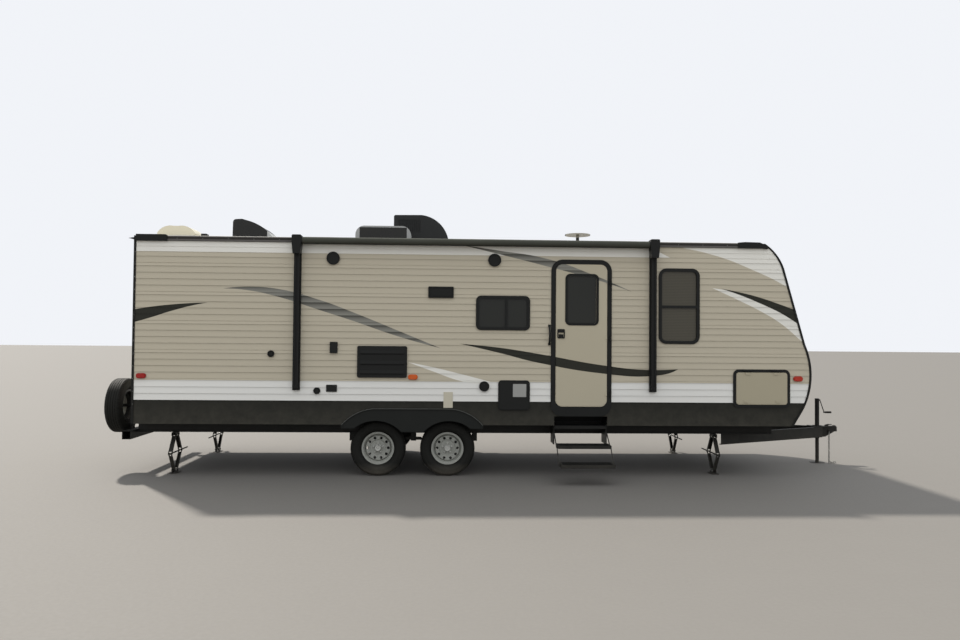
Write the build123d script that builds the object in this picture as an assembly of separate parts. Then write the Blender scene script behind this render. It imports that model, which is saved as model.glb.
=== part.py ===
# Travel caravan: a tandem-axle trailer with a lap-sided cabin, standing on its wheels and its tongue jack.
# Millimetres. +X points forward to the coupler, +Z up, and y = 0 is the middle plane.
# The door side is at -Y. The origin is on the ground under the tongue jack's foot.
from build123d import *
import math
import os

os.makedirs("parts", exist_ok=True)

# Body shell
half_width = 1219.0
rear_x = -8800.0
body_bottom_z = 628.0
roof_edge_z = 2850.0
roof_crown = 100.0
roof_thickness = 60.0
wall_thickness = 45.0
roof_front_x = -1563.0
front_shoulder = (-997.0, 2550.0)
front_upper = (-735.0, 1620.0)
front_nose = (-657.0, 1250.0)
front_lower = (-760.0, 830.0)
front_bottom_x = -882.0
floor_top_z = 740.0
floor_thickness = 100.0

# Lap siding
lap_depth = 4.0
skirt_top_z = 911.0
white_band_top_z = 1147.0
white_band_laps = 3
panel_lap = 76.0
panel_strip = 38.0
panel_laps = 4
panel_count = 4
upper_line_z = 2665.0
top_band_laps = 2

# Chassis
rail_y = 860.0
rail_height = 145.0
rail_flange = 60.0
rail_thickness = 8.0
rail_top_z = body_bottom_z + 12.0
rail_rear_x = -8850.0
rail_front_x = -1000.0
bumper_size = 100.0
bumper_half_length = 1100.0
bumper_wall = 5.0
frame_leg_height = 140.0
frame_leg_flange = 42.0
frame_leg_thickness = 7.0
frame_leg_rear = (-1640.0, 857.0)
frame_leg_front = (45.0, 66.0)
cross_rail_xs = (-8200.0, -6900.0, -4100.0, -2700.0, -1150.0)

# Wheels
axle_mid_x = -5500.0
axle_spacing = 838.0
wheel_y = 1005.0
tyre_radius = 331.5
tyre_width = 205.0
rim_seat = 179.0
rim_edge = 195.0
rim_half = 76.0
hand_hole_count = 10
hand_hole_radius = 17.0
hand_hole_circle = 124.0
hub_radius = 43.0
hub_cap_radius = 35.0
hub_cap_reach = 80.0
spindle_radius = 22.0
running_gap = 0.1
axle_radius = 38.0
drum_radius = 127.0

# Stabilisers: scissor jacks whose arms swing across the trailer
stabiliser_rear_x = -8396.0
stabiliser_front_x = -1750.0
stabiliser_y = 880.0
arm_length = 254.0
arm_width = 44.0
arm_thickness = 3.0
arm_depth = 28.0
arm_end_radius = 14.0
pin_radius = 8.0
pin_offset = 38.0
jack_pin_drop = 30.0
foot_gap = 2.0
foot_pin_height = 38.0
foot_thickness = 5.0
screw_radius = 8.0
screw_tail = 38.0
fold_angle = 46.0

# Tongue jack
jack_tube_radius = 28.5
jack_leg_radius = 24.0
jack_tube_bottom_z = 335.0
jack_tube_top_z = 880.0
jack_leg_top_z = 560.0
jack_foot_length = 175.0
jack_foot_width = 120.0
jack_foot_thickness = 6.0

# Coupler
coupler_ball_x = 235.0
socket_radius = 30.0
socket_depth = 45.0
socket_mouth_z = 432.0
coupler_wall = 9.0
chain_x = 140.0
chain_y = -54.0
chain_top_z = 409.8

# Door
door_x0 = -3847.0
door_x1 = -3112.0
door_z0 = 739.0
door_z1 = 2626.0
door_corner = 140.0
door_flange = 46.0
door_sill = 60.0
door_proud = 9.0
door_gap = 5.0
door_leaf_thickness = 38.0
door_window = (-3679.0, -3272.0, 1832.0, 2455.0)
door_window_corner = 62.0
hinge_radius = 7.0
hinge_length = 60.0

# Pass-through lockers, one on each side
locker_x0 = -1624.0
locker_x1 = -922.0
locker_z0 = 854.0
locker_z1 = 1317.0
locker_corner = 70.0
locker_flange = 26.0
locker_thickness = 34.0

# Side windows: x0, x1, z0, z1, corner radius
window_table = (
    (-4753.0, -4102.0, 1766.0, 2181.0, 62.0),
    (-2539.0, -2037.0, 1618.0, 2535.0, 95.0),
)
window_flange = 38.0
window_proud = 12.0
window_sleeve = 4.0
glass_thickness = 6.0
fit_gap = 0.3

parts = {}


def block(x0, x1, y0, y1, z0, z1):
    """A box given by its lowest and highest corners."""
    size = (x1 - x0, y1 - y0, z1 - z0)
    middle = ((x0 + x1) / 2, (y0 + y1) / 2, (z0 + z1) / 2)
    return Pos(*middle) * Box(*size)


def rod(x0, y0, z0, x1, y1, z1, radius):
    """A round bar between two points."""
    start = Vector(x0, y0, z0)
    end = Vector(x1, y1, z1)
    plane = Plane(origin=start, z_dir=end - start)
    return extrude(plane * Circle(radius), amount=(end - start).length)


def near_plane(x, z, y=half_width):
    """A sketch plane on the door side: local x is +X, local y is +Z, and it faces outwards."""
    return Plane(origin=(x, -y, z), x_dir=(1, 0, 0), z_dir=(0, -1, 0))


def near_panel(x0, x1, z0, z1, corner, inner_y, outer_y):
    """A rounded panel on the door side, from inner_y out to outer_y."""
    outline = RectangleRounded(x1 - x0, z1 - z0, corner)
    plane = near_plane((x0 + x1) / 2, (z0 + z1) / 2, inner_y)
    return extrude(plane * outline, amount=outer_y - inner_y)


def far(shape):
    """The same piece on the other side of the trailer."""
    return mirror(shape, about=Plane.XZ)


def section_x(points, x0, x1):
    """A prism along X from a closed outline of (y, z) points."""
    face = make_face(Polyline(*points, close=True))
    return Pos(x0, 0, 0) * extrude(Plane.YZ * face, amount=x1 - x0)


# The body's outline seen from the side, with the curved front
def side_profile(shift=0.0, top_z=roof_edge_z + roof_crown):
    shoulder = (front_shoulder[0] + shift, front_shoulder[1])
    upper = (front_upper[0] + shift, front_upper[1])
    nose = (front_nose[0] + shift, front_nose[1])
    lower = (front_lower[0] + shift, front_lower[1])
    bottom = (front_bottom_x + shift, body_bottom_z)
    roof_end = (roof_front_x + shift, top_z)
    rear_top = (rear_x + shift, top_z)
    rear_bottom = (rear_x + shift, body_bottom_z)
    edges = [
        Line(rear_top, roof_end),
        TangentArc(roof_end, shoulder, tangent=(1, 0)),
        Line(shoulder, upper),
        ThreePointArc(upper, nose, lower),
        Line(lower, bottom),
        Line(bottom, rear_bottom),
        Line(rear_bottom, rear_top),
    ]
    return Plane.XZ * make_face(edges)


def profile_prism(y0, y1, shift=0.0):
    """The side outline as a solid between two y values."""
    return Pos(0, y1, 0) * extrude(side_profile(shift), amount=y1 - y0)


# Heights of the laps, from the top of the black skirt up to the roof
def lap_heights():
    heights = [(white_band_top_z - skirt_top_z) / white_band_laps] * white_band_laps
    heights.append(panel_strip / 2)
    for panel in range(panel_count):
        heights += [panel_lap] * panel_laps
        heights.append(panel_strip)
    used = skirt_top_z + sum(heights)
    heights.append(panel_lap)
    heights.append(upper_line_z - used - panel_lap)
    top_band = roof_edge_z - roof_thickness - upper_line_z
    heights += [top_band / top_band_laps] * top_band_laps
    return heights


def lap_outline(outer, inner):
    """Closed (distance, z) outline of a lapped wall: each lap is proud at its foot."""
    points = [(inner, body_bottom_z), (outer - lap_depth, body_bottom_z), (outer - lap_depth, skirt_top_z)]
    z = skirt_top_z
    for height in lap_heights():
        points.append((outer, z))
        z += height
        points.append((outer - lap_depth, z))
    points.append((inner, z))
    return points


roof_underside_z = roof_edge_z - roof_thickness
wall_inner_y = half_width - wall_thickness
hub_xs = (axle_mid_x - axle_spacing / 2, axle_mid_x + axle_spacing / 2)

# Wheel opening in the skirt and floor
arch_margin = 40.0
arch_x0 = hub_xs[0] - tyre_radius - arch_margin
arch_x1 = hub_xs[1] + tyre_radius + arch_margin
arch_top_z = 735.0
well_inner_y = 830.0
well_plate = 15.0

door_cut = (door_x0 + door_flange, door_x1 - door_flange, door_z0 + door_flange, door_z1 - door_flange)
door_cut_corner = door_corner - door_flange
step_well_z1 = door_z0 - 2.0


arch_inset = 60.0
skirt_face_y = half_width - lap_depth
fender_half = 844.0
fender_shoulder = (686.0, 757.0)
fender_crest = (459.0, 824.0)
fender_end_z = 585.0
fender_tongue_z = 545.0
fender_arch_top_z = 675.0
fender_plate = 8.0
fender_lip = 9.0
fender_lip_width = 16.0


def fender_top(margin, bottom_z):
    """Face under the skirt's upper curve, pulled in by a margin and closed along bottom_z."""
    c = axle_mid_x
    half = fender_half - margin
    via = (fender_shoulder[0] - 0.7 * margin, fender_shoulder[1] - 0.7 * margin)
    crest = (fender_crest[0], fender_crest[1] - margin)
    return make_face([
        Line((c - half, bottom_z), (c - half, body_bottom_z)),
        ThreePointArc((c - half, body_bottom_z), (c - via[0], via[1]), (c - crest[0], crest[1])),
        Line((c - crest[0], crest[1]), (c + crest[0], crest[1])),
        ThreePointArc((c + crest[0], crest[1]), (c + via[0], via[1]), (c + half, body_bottom_z)),
        Line((c + half, body_bottom_z), (c + half, bottom_z)),
        Line((c + half, bottom_z), (c - half, bottom_z)),
    ])


def near_extrude(face, inner_y, outer_y):
    """Extrude an XZ face on the door side between two distances from the middle."""
    return Pos(0, -inner_y, 0) * extrude(Plane.XZ * face, amount=outer_y - inner_y)


def side_wall(has_door):
    lapped = section_x([(-a, z) for a, z in lap_outline(half_width, wall_inner_y)], rear_x, front_nose[0] + 10)
    wall = lapped & profile_prism(-half_width - 5, -wall_inner_y + 5)
    for x0, x1, z0, z1, corner in window_table:
        inset = window_flange - window_sleeve
        wall -= near_panel(x0 + inset, x1 - inset, z0 + inset, z1 - inset, corner - inset,
                           wall_inner_y - 5, half_width + 5)
    wall -= near_panel(locker_x0 + locker_flange, locker_x1 - locker_flange, locker_z0 + locker_flange,
                       locker_z1 - locker_flange, locker_corner - locker_flange, wall_inner_y - 5, half_width + 5)
    wall -= near_extrude(fender_top(arch_inset, body_bottom_z - 5), wall_inner_y - 5, half_width + 5)
    if has_door:
        x0, x1, z0, z1 = door_cut
        wall -= near_panel(x0, x1, z0, z1, door_cut_corner, wall_inner_y - 5, half_width + 5)
        wall -= block(x0, x1, -half_width - 5, -wall_inner_y + 5, body_bottom_z - 5, step_well_z1)
    return wall


parts["side_wall_near"] = side_wall(True)
parts["side_wall_far"] = far(side_wall(False))

# Rear wall, lapped like the sides
rear_face = make_face(Polyline(*[(-d, z) for d, z in lap_outline(-rear_x, -rear_x - wall_thickness)], close=True))
rear_wall = Pos(0, wall_inner_y, 0) * extrude(Plane.XZ * rear_face, amount=2 * wall_inner_y)
for side in (-1, 1):
    y0, y1 = sorted((side * (rail_y - rail_flange / 2 - fit_gap), side * (rail_y + rail_flange / 2 + fit_gap)))
    rear_wall -= block(rear_x - 5, rear_x + wall_thickness + 5, y0, y1, body_bottom_z - 5, rail_top_z)
parts["rear_wall"] = rear_wall

# Curved front wall between the side walls
front_band = block(roof_front_x, 0, -wall_inner_y, wall_inner_y, body_bottom_z, roof_underside_z)
parts["front_wall"] = (profile_prism(-wall_inner_y, wall_inner_y) & front_band) - profile_prism(
    -wall_inner_y - 5, wall_inner_y + 5, -wall_thickness)

# Crowned roof with its rounded front edge
crown_face = make_face([
    Line((-half_width, roof_underside_z), (half_width, roof_underside_z)),
    Line((half_width, roof_underside_z), (half_width, roof_edge_z)),
    ThreePointArc((half_width, roof_edge_z), (0, roof_edge_z + roof_crown), (-half_width, roof_edge_z)),
    Line((-half_width, roof_edge_z), (-half_width, roof_underside_z)),
])
crown_bar = Pos(rear_x, 0, 0) * extrude(Plane.YZ * crown_face, amount=front_nose[0] - rear_x)
parts["roof"] = crown_bar & profile_prism(-half_width - 5, half_width + 5)

# Floor with its enclosed underside, open at the step well and over the wheels, where moulded liners stand on it
floor_z0 = floor_top_z - floor_thickness
floor = profile_prism(-wall_inner_y, wall_inner_y, -wall_thickness) & block(
    rear_x + wall_thickness, 0, -wall_inner_y, wall_inner_y, floor_z0, floor_top_z)
well_top_z = arch_top_z + 45
liners = []
for side in (-1, 1):
    y0, y1 = sorted((side * well_inner_y, side * (wall_inner_y + 5)))
    floor -= block(arch_x0, arch_x1, y0, y1, floor_z0 - 5, floor_top_z + 5)
    y0, y1 = sorted((side * (well_inner_y - well_plate), side * (wall_inner_y - fit_gap)))
    liner = block(arch_x0 - well_plate, arch_x1 + well_plate, y0, y1, floor_top_z + fit_gap, well_top_z)
    y0, y1 = sorted((side * well_inner_y, side * (wall_inner_y + 5)))
    liner -= block(arch_x0, arch_x1, y0, y1, floor_top_z - 5, well_top_z - well_plate)
    liners.append(liner)
step_well_depth = 300.0
floor -= block(door_cut[0], door_cut[1], -wall_inner_y - 5, -wall_inner_y + step_well_depth, floor_z0 - 5,
               step_well_z1)
parts["floor"] = Compound(children=[floor] + liners)

# Chassis: two rails, cross rails, the jacks' mounting brackets and the tubular bumper
rail_z0 = rail_top_z - rail_height


def rail_section(half, height, thickness, flange):
    """An I section centred on y = 0 with its foot at z = 0."""
    web = thickness / 2
    return [(-half, 0), (half, 0), (half, flange), (web, flange), (web, height - flange), (half, height - flange),
            (half, height), (-half, height), (-half, height - flange), (-web, height - flange), (-web, flange),
            (-half, flange)]


jack_top_z = rail_z0 - jack_pin_drop
foot_pin_z = foot_gap + foot_pin_height
arm_angle = math.degrees(math.acos((jack_top_z - foot_pin_z) / (2 * arm_length)))
arm_reach = arm_length * math.sin(math.radians(arm_angle))
arm_drop = arm_length * math.cos(math.radians(arm_angle))
bracket_half = arm_width / 2 + 1.0
bracket_plate = 5.0
bracket_length = 2 * pin_offset + 60.0

chassis = Part()
for side in (-1, 1):
    rail = section_x(rail_section(rail_flange / 2, floor_z0 - rail_z0, rail_thickness, rail_thickness),
                     rail_rear_x, rail_front_x)
    chassis += Pos(0, side * rail_y, rail_z0) * rail
for x in cross_rail_xs:
    chassis += block(x - 25, x + 25, -rail_y, rail_y, rail_z0 + 40, rail_z0 + 90)
bumper_z0 = 430.0
bumper_x1 = rail_rear_x
bumper = block(bumper_x1 - bumper_size, bumper_x1, -bumper_half_length, bumper_half_length, bumper_z0,
               bumper_z0 + bumper_size)
bumper -= block(bumper_x1 - bumper_size + bumper_wall, bumper_x1 - bumper_wall, -bumper_half_length - 5,
                bumper_half_length + 5, bumper_z0 + bumper_wall, bumper_z0 + bumper_size - bumper_wall)
chassis += bumper


def jack_bracket():
    """Top bracket of a stabiliser, with its two pins, at x = 0 and centred on y = 0."""
    plate = block(-bracket_half - arm_thickness, bracket_half + arm_thickness, -bracket_length / 2,
                  bracket_length / 2, rail_z0 - bracket_plate, rail_z0)
    shape = plate
    for side in (-1, 1):
        x0, x1 = sorted((side * bracket_half, side * (bracket_half + arm_thickness)))
        shape += block(x0, x1, -bracket_length / 2, bracket_length / 2, jack_top_z - arm_end_radius, rail_z0 - 1)
    for side in (-1, 1):
        half = bracket_half + arm_thickness + 3
        shape += rod(-half, side * pin_offset, jack_top_z, half, side * pin_offset, jack_top_z, pin_radius)
    return shape


stabilisers = (
    # name, x, side
    ("rear_near", stabiliser_rear_x, -1),
    ("rear_far", stabiliser_rear_x, 1),
    ("front_near", stabiliser_front_x, -1),
    ("front_far", stabiliser_front_x, 1),
)
for name, x, side in stabilisers:
    chassis += Pos(x, side * stabiliser_y, 0) * jack_bracket()
parts["chassis"] = chassis


def channel_arm(outer_half, holes):
    """A jack arm from its upper pin at the origin down to its lower pin at z = -arm_length.
    The web is on its +Y side. Holes at both ends take the pins."""
    half_depth = arm_depth / 2
    slot = (SlotCenterToCenter(arm_length, 2 * arm_end_radius))
    side_plane = Plane(origin=(-outer_half, 0, -arm_length / 2), x_dir=(0, 0, 1), z_dir=(1, 0, 0))
    arm = extrude(side_plane * slot, amount=2 * outer_half)
    arm -= block(-outer_half + arm_thickness, outer_half - arm_thickness, -arm_end_radius - 1,
                 half_depth - arm_thickness, -arm_length - 20, 20)
    for z0, z1 in ((-22.0, 20.0), (-arm_length - 20, -arm_length + 22.0)):
        arm -= block(-outer_half + arm_thickness, outer_half - arm_thickness, -20, 20, z0, z1)
    for z, radius in holes:
        arm -= rod(-outer_half - 5, 0, z, outer_half + 5, 0, z, radius)
    return arm


def stub_pins(z, inner_half, outer_half, radius):
    """Two pins on one axis that leave the middle open for the screw."""
    shape = rod(inner_half, 0, z, outer_half, 0, z, radius)
    return shape + rod(-outer_half, 0, z, -inner_half, 0, z, radius)


upper_half = arm_width / 2
lower_half = upper_half - arm_thickness - 1.0
pin_hole = pin_radius + running_gap
loose_hole = pin_radius + 0.5
trunnion_radius = 10.0


def place_upper(arm, outward):
    """Stand an upper arm at its top pin, leaning outward by the rest angle (outward is +1 or -1 in y)."""
    turned = Rot(arm_angle, 0, 0) * arm
    return Rot(0, 0, 0 if outward > 0 else 180) * Pos(0, pin_offset, jack_top_z) * turned


def place_lower(arm, outward):
    """Stand a lower arm at the middle pin, leaning back inward."""
    turned = Rot(-arm_angle, 0, 0) * arm
    return Rot(0, 0, 0 if outward > 0 else 180) * Pos(0, pin_offset + arm_reach, jack_top_z - arm_drop) * turned


def jack_foot():
    plate = block(-45, 45, -85, 85, foot_gap, foot_gap + foot_thickness)
    shape = plate
    inner = lower_half + 1.0
    for side in (-1, 1):
        x0, x1 = sorted((side * inner, side * (inner + 4)))
        shape += block(x0, x1, -pin_offset - 14, pin_offset + 14, foot_gap + 1, foot_pin_z + 10)
    for side in (-1, 1):
        pin_y = side * pin_offset
        shape += rod(-inner - 6, pin_y, foot_pin_z, inner + 6, pin_y, foot_pin_z, pin_radius)
    return shape


def jack_screw():
    """The screw with its cross pin in the outer elbow (+Y here) and its tail through the inner elbow."""
    z = jack_top_z - arm_drop
    outer = pin_offset + arm_reach
    folded = pin_offset + arm_length * math.sin(math.radians(arm_angle + fold_angle))
    tail_y = outer - (2 * folded + screw_tail)
    shape = rod(0, tail_y, z, 0, outer + 30, z, screw_radius)
    shape += rod(-upper_half - 3, outer, z, upper_half + 3, outer, z, trunnion_radius)
    shape += rod(0, outer + 28, z, 0, outer + 46, z, 11.0)
    return shape


upper_a = channel_arm(upper_half, ((0, pin_hole), (-arm_length, trunnion_radius + running_gap)))
lower_a = channel_arm(lower_half, ((0, trunnion_radius + running_gap), (-arm_length, pin_hole)))
upper_b = channel_arm(upper_half, ((0, pin_hole),))
upper_b += stub_pins(-arm_length, lower_half - 5, upper_half + 3, pin_radius)
lower_b = channel_arm(lower_half, ((0, pin_hole), (-arm_length, loose_hole)))

for name, x, side in stabilisers:
    def stand(shape):
        return Pos(x, side * stabiliser_y, 0) * Rot(0, 0, 0 if side > 0 else 180) * shape

    parts["jack_" + name + "_upper_outer"] = stand(place_upper(upper_a, 1))
    parts["jack_" + name + "_lower_outer"] = stand(place_lower(lower_a, 1))
    parts["jack_" + name + "_upper_inner"] = stand(place_upper(upper_b, -1))
    parts["jack_" + name + "_lower_inner"] = stand(place_lower(lower_b, -1))
    parts["jack_" + name + "_screw"] = stand(jack_screw())
    parts["jack_" + name + "_foot"] = stand(jack_foot())


# Drawbar: two channel legs, and the ball coupler on them with its wide plate and the jack's hole
leg_z0 = rail_z0 - frame_leg_height


def frame_leg():
    """The door side leg of the drawbar, flanges turned inwards."""
    front = Vector(frame_leg_front[0] + 40, -frame_leg_front[1] + 18, leg_z0)
    rear = Vector(frame_leg_rear[0], -frame_leg_rear[1], leg_z0)
    along = (rear - front).normalized()
    plane = Plane(origin=front, x_dir=(-along.Y, along.X, 0), z_dir=along)
    height = frame_leg_height
    flange = frame_leg_flange
    web = frame_leg_thickness
    points = [(0, 0), (0, height), (-flange, height), (-flange, height - web), (-web, height - web), (-web, web),
              (-flange, web), (-flange, 0)]
    leg = extrude(plane * make_face(Polyline(*points, close=True)), amount=(rear - front).length)
    return leg & block(frame_leg_rear[0] - 50, frame_leg_front[0], -1000, 0, leg_z0 - 5, rail_z0 + 5)


coupler_plate = 8.0
plate_z1 = rail_z0 + coupler_plate
plate_rear_x = -90.0
plate_rear_half = 122.0
jack_hole = jack_tube_radius + fit_gap
front_x = frame_leg_front[0]
front_half = frame_leg_front[1]
a_frame = frame_leg()
a_frame += far(frame_leg())
a_frame += block(front_x - 8, front_x, -front_half + 1, front_half - 1, leg_z0 + 1, rail_z0)
parts["a_frame"] = a_frame

coupler_half = 38.0
coupler_side = 8.0
coupler_x0 = front_x + fit_gap
plate_front_x = coupler_ball_x - 45
plate_face = make_face(Polyline(
    (plate_rear_x, -plate_rear_half), (front_x, -front_half), (plate_front_x, -coupler_half),
    (plate_front_x, coupler_half), (front_x, front_half), (plate_rear_x, plate_rear_half), close=True))
coupler = Pos(0, 0, rail_z0 + fit_gap) * extrude(plate_face, amount=coupler_plate - fit_gap)
coupler += block(coupler_x0, coupler_ball_x, -coupler_half, coupler_half, socket_mouth_z + 12, plate_z1)
coupler -= block(coupler_x0 - 5, coupler_ball_x - socket_radius - coupler_wall, -coupler_half + coupler_side,
                 coupler_half - coupler_side, socket_mouth_z, rail_z0)
cheek_end_x = coupler_ball_x - 4
cheek_face = make_face(Polyline(
    (coupler_x0, leg_z0 + 4), (front_x + 51, leg_z0 + 4), (cheek_end_x, socket_mouth_z + 2), (cheek_end_x, rail_z0),
    (coupler_x0, rail_z0), close=True))
for side in (-1, 1):
    y1 = max(side * coupler_half, side * (coupler_half - coupler_side))
    coupler += Pos(0, y1, 0) * extrude(Plane.XZ * cheek_face, amount=coupler_side)
socket_z1 = plate_z1 - 14
coupler += Pos(coupler_ball_x, 0, (socket_mouth_z + socket_z1) / 2) * Cylinder(
    socket_radius + coupler_wall, socket_z1 - socket_mouth_z)
dome = Pos(coupler_ball_x, 0, socket_z1 - 12) * Sphere(socket_radius + coupler_wall)
coupler += dome & block(0, 400, -100, 100, socket_z1 - 1, socket_z1 + 40)
coupler -= Pos(coupler_ball_x, 0, socket_mouth_z + socket_depth / 2 - 1) * Cylinder(socket_radius, socket_depth + 2)
latch_x0 = front_x + 59
latch_x1 = coupler_ball_x - 30
latch_face = make_face(Polyline(
    (latch_x0, plate_z1 - 1), (latch_x0 + 6, plate_z1 + 16), (latch_x0 + 46, plate_z1 + 26), (latch_x1, plate_z1 + 24),
    (latch_x1, plate_z1 + 17), (latch_x0 + 56, plate_z1 + 14), (latch_x0 + 46, plate_z1 - 1), close=True))
coupler += Pos(0, 10, 0) * extrude(Plane.XZ * latch_face, amount=20)
eye_z = chain_top_z + 20.0
eye_top_z = eye_z + 25
eye = block(chain_x - 12, chain_x + 12, chain_y - 3, chain_y + 3, eye_z - 12, eye_top_z)
eye += block(chain_x - 12, chain_x + 12, chain_y - 3, -coupler_half + 2, eye_top_z - 9, eye_top_z)
eye -= rod(chain_x, chain_y - 10, eye_z, chain_x, chain_y + 10, eye_z, 6.5)
coupler += eye
coupler -= Pos(0, 0, rail_z0) * Cylinder(jack_hole, 60)
parts["coupler"] = coupler

# Tongue jack: tube with flange and crank, and the sliding leg inside it
tube_wall = 3.5
tube = Pos(0, 0, (jack_tube_bottom_z + jack_tube_top_z) / 2) * Cylinder(
    jack_tube_radius, jack_tube_top_z - jack_tube_bottom_z)
tube_cap = 6.0
bore_z1 = jack_tube_top_z - tube_cap
tube -= rod(0, 0, jack_tube_bottom_z - 5, 0, 0, bore_z1, jack_tube_radius - tube_wall)
tube += (Pos(0, 0, plate_z1 + 4) * Cylinder(62, 8)) - (Pos(0, 0, plate_z1 + 4) * Cylinder(jack_tube_radius - 1, 20))
crank_z = jack_tube_top_z - 22
crank_x = 44.0
crank_low_x = 99.0
crank_low_z = 690.0
crank_handle = 98.0
tube += rod(jack_tube_radius - 1, 0, crank_z, crank_x, 0, crank_z, 9)
tube += rod(crank_x - 4, 0, crank_z, crank_low_x, 0, crank_low_z, 6)
tube += rod(crank_low_x - 6, 0, crank_low_z, crank_low_x + crank_handle, 0, crank_low_z, 11)
parts["tongue_jack"] = tube
leg = Pos(0, 0, (jack_foot_thickness + jack_leg_top_z) / 2) * Cylinder(
    jack_leg_radius, jack_leg_top_z - jack_foot_thickness)
leg += extrude(RectangleRounded(jack_foot_length, jack_foot_width, 18), amount=jack_foot_thickness)
parts["tongue_jack_leg"] = leg

# Running gear: two axle tubes, leaf springs, hangers and equalisers
spring_half = 333.0
spring_eye_z = 428.0
spring_width = 45.0
leaf_thickness = 8.0
leaf_lengths = (spring_half, 235.0, 140.0)
eye_radius = 17.0
hub_z = tyre_radius
backing_y = wheel_y - 82.0
running = Part()


def leaf(half, level):
    """One leaf of a spring pack, lower in the middle than at its ends."""
    sag = 30.0
    full = (spring_half ** 2 + sag ** 2) / (2 * sag)
    top = spring_eye_z - sag - level * leaf_thickness
    edges_top = [(-half, top + full - math.sqrt(full ** 2 - half ** 2)), (0, top)]
    arc = ThreePointArc(edges_top[0], edges_top[1], (half, edges_top[0][1]))
    low = ThreePointArc((half, edges_top[0][1] - leaf_thickness), (0, top - leaf_thickness),
                        (-half, edges_top[0][1] - leaf_thickness))
    face = make_face([arc, Line(arc @ 1, low @ 0), low, Line(low @ 1, arc @ 0)])
    return Pos(0, spring_width / 2, 0) * extrude(Plane.XZ * face, amount=spring_width)


def cross_rod(x, y, half, radius):
    """A bar across a spring eye at a distance y from the middle."""
    return rod(x, y - half, spring_eye_z - 4, x, y + half, spring_eye_z - 4, radius)


for side in (-1, 1):
    y = side * rail_y
    for hub_x in hub_xs:
        for level, half in enumerate(leaf_lengths):
            running += Pos(hub_x, y, 0) * leaf(half, level)
        for end in (-1, 1):
            x = hub_x + end * spring_half
            running += cross_rod(x, y, spring_width / 2, eye_radius)
        running += block(hub_x - 50, hub_x + 50, y - 32, y + 32, spring_eye_z - 30 - 3 * leaf_thickness - 14,
                         spring_eye_z - 30 - 3 * leaf_thickness + 2)
    for x in (hub_xs[0] - spring_half, axle_mid_x, hub_xs[1] + spring_half):
        for cheek in (-1, 1):
            y0, y1 = sorted((y + cheek * (spring_width / 2), y + cheek * (spring_width / 2 + 6)))
            running += block(x - 32, x + 32, y0, y1, spring_eye_z - 30, rail_z0)
        running += cross_rod(x, y, spring_width / 2 + 10, 9)
    rocker = axle_spacing / 2 - spring_half
    running += block(axle_mid_x - rocker, axle_mid_x + rocker, y - 18, y + 18, spring_eye_z - 20, spring_eye_z + 14)
for hub_x in hub_xs:
    running += rod(hub_x, -backing_y, hub_z, hub_x, backing_y, hub_z, axle_radius)
    for side in (-1, 1):
        running += rod(hub_x, side * (backing_y - 6), hub_z, hub_x, side * backing_y, hub_z, drum_radius)
        running += rod(hub_x, side * (backing_y - 1), hub_z, hub_x, side * (wheel_y + 18), hub_z, spindle_radius)
parts["running_gear"] = running

# Wheels: outlines of (y, radius) with +y outwards, turned about the axle
rim_barrel = (
    (-rim_half, rim_edge), (-rim_half + 8, rim_edge), (-rim_half + 10, rim_seat), (-30, rim_seat), (-22, rim_seat - 16),
    (20, rim_seat - 16), (30, rim_seat), (rim_half - 10, rim_seat), (rim_half - 8, rim_edge), (rim_half, rim_edge),
    (rim_half - 2, rim_seat - 6), (27, rim_seat - 23), (-29, rim_seat - 23), (-rim_half + 2, rim_seat - 6),
)
rim_disc = (
    (22, rim_seat - 21), (44, 144), (44, 104), (34, 92), (34, 40), (26, 40), (26, 95), (36, 106), (36, 139),
    (14, rim_seat - 21),
)
hub_outline = (
    (-74, 0), (-74, drum_radius), (-18, drum_radius), (-18, hub_radius), (34, hub_radius), (34, hub_cap_radius),
    (hub_cap_reach - 4, hub_cap_radius), (hub_cap_reach, hub_cap_radius - 4), (hub_cap_reach, 0),
)
plain_hub = ((20, 0), (20, hub_radius), (34, hub_radius), (34, 0))
tyre_half = tyre_width / 2
tyre_flank = (
    # distance from the middle plane, radius: from the bead out to the tread
    (66.0, rim_seat + fit_gap), (66.0, 197.0), (tyre_half - 6.5, 226.0), (tyre_half, 256.0), (tyre_half - 6.5, 300.0),
    (78.0, tyre_radius - 6.5), (60.0, tyre_radius),
)
tyre_outline = [(-y, radius) for y, radius in tyre_flank] + [(y, radius) for y, radius in reversed(tyre_flank)]


def turned_ring(points):
    return revolve(Plane.YZ * make_face(Polyline(*points, close=True)), axis=Axis.Y)


def wheel_rim(with_hub):
    shape = turned_ring(rim_barrel)
    disc = turned_ring(rim_disc)
    for index in range(hand_hole_count):
        turn = Rot(0, 360.0 / hand_hole_count * (index + 0.5), 0)
        disc -= turn * rod(0, 0, hand_hole_circle, 0, 80, hand_hole_circle, hand_hole_radius)
    shape += disc
    shape += turned_ring(hub_outline if with_hub else plain_hub)
    if with_hub:
        shape -= rod(0, -80, 0, 0, 24, 0, spindle_radius + running_gap)
    return shape


rim = wheel_rim(True)
spare_plain_rim = wheel_rim(False)
tyre = turned_ring(tyre_outline)
for side_name, side in (("near", -1), ("far", 1)):
    for axle_name, hub_x in (("rear", hub_xs[0]), ("front", hub_xs[1])):
        turn = Pos(hub_x, side * wheel_y, hub_z) * Rot(0, 0, 0 if side > 0 else 180)
        parts["wheel_" + axle_name + "_" + side_name + "_rim"] = turn * rim
        parts["wheel_" + axle_name + "_" + side_name + "_tyre"] = turn * tyre

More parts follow.
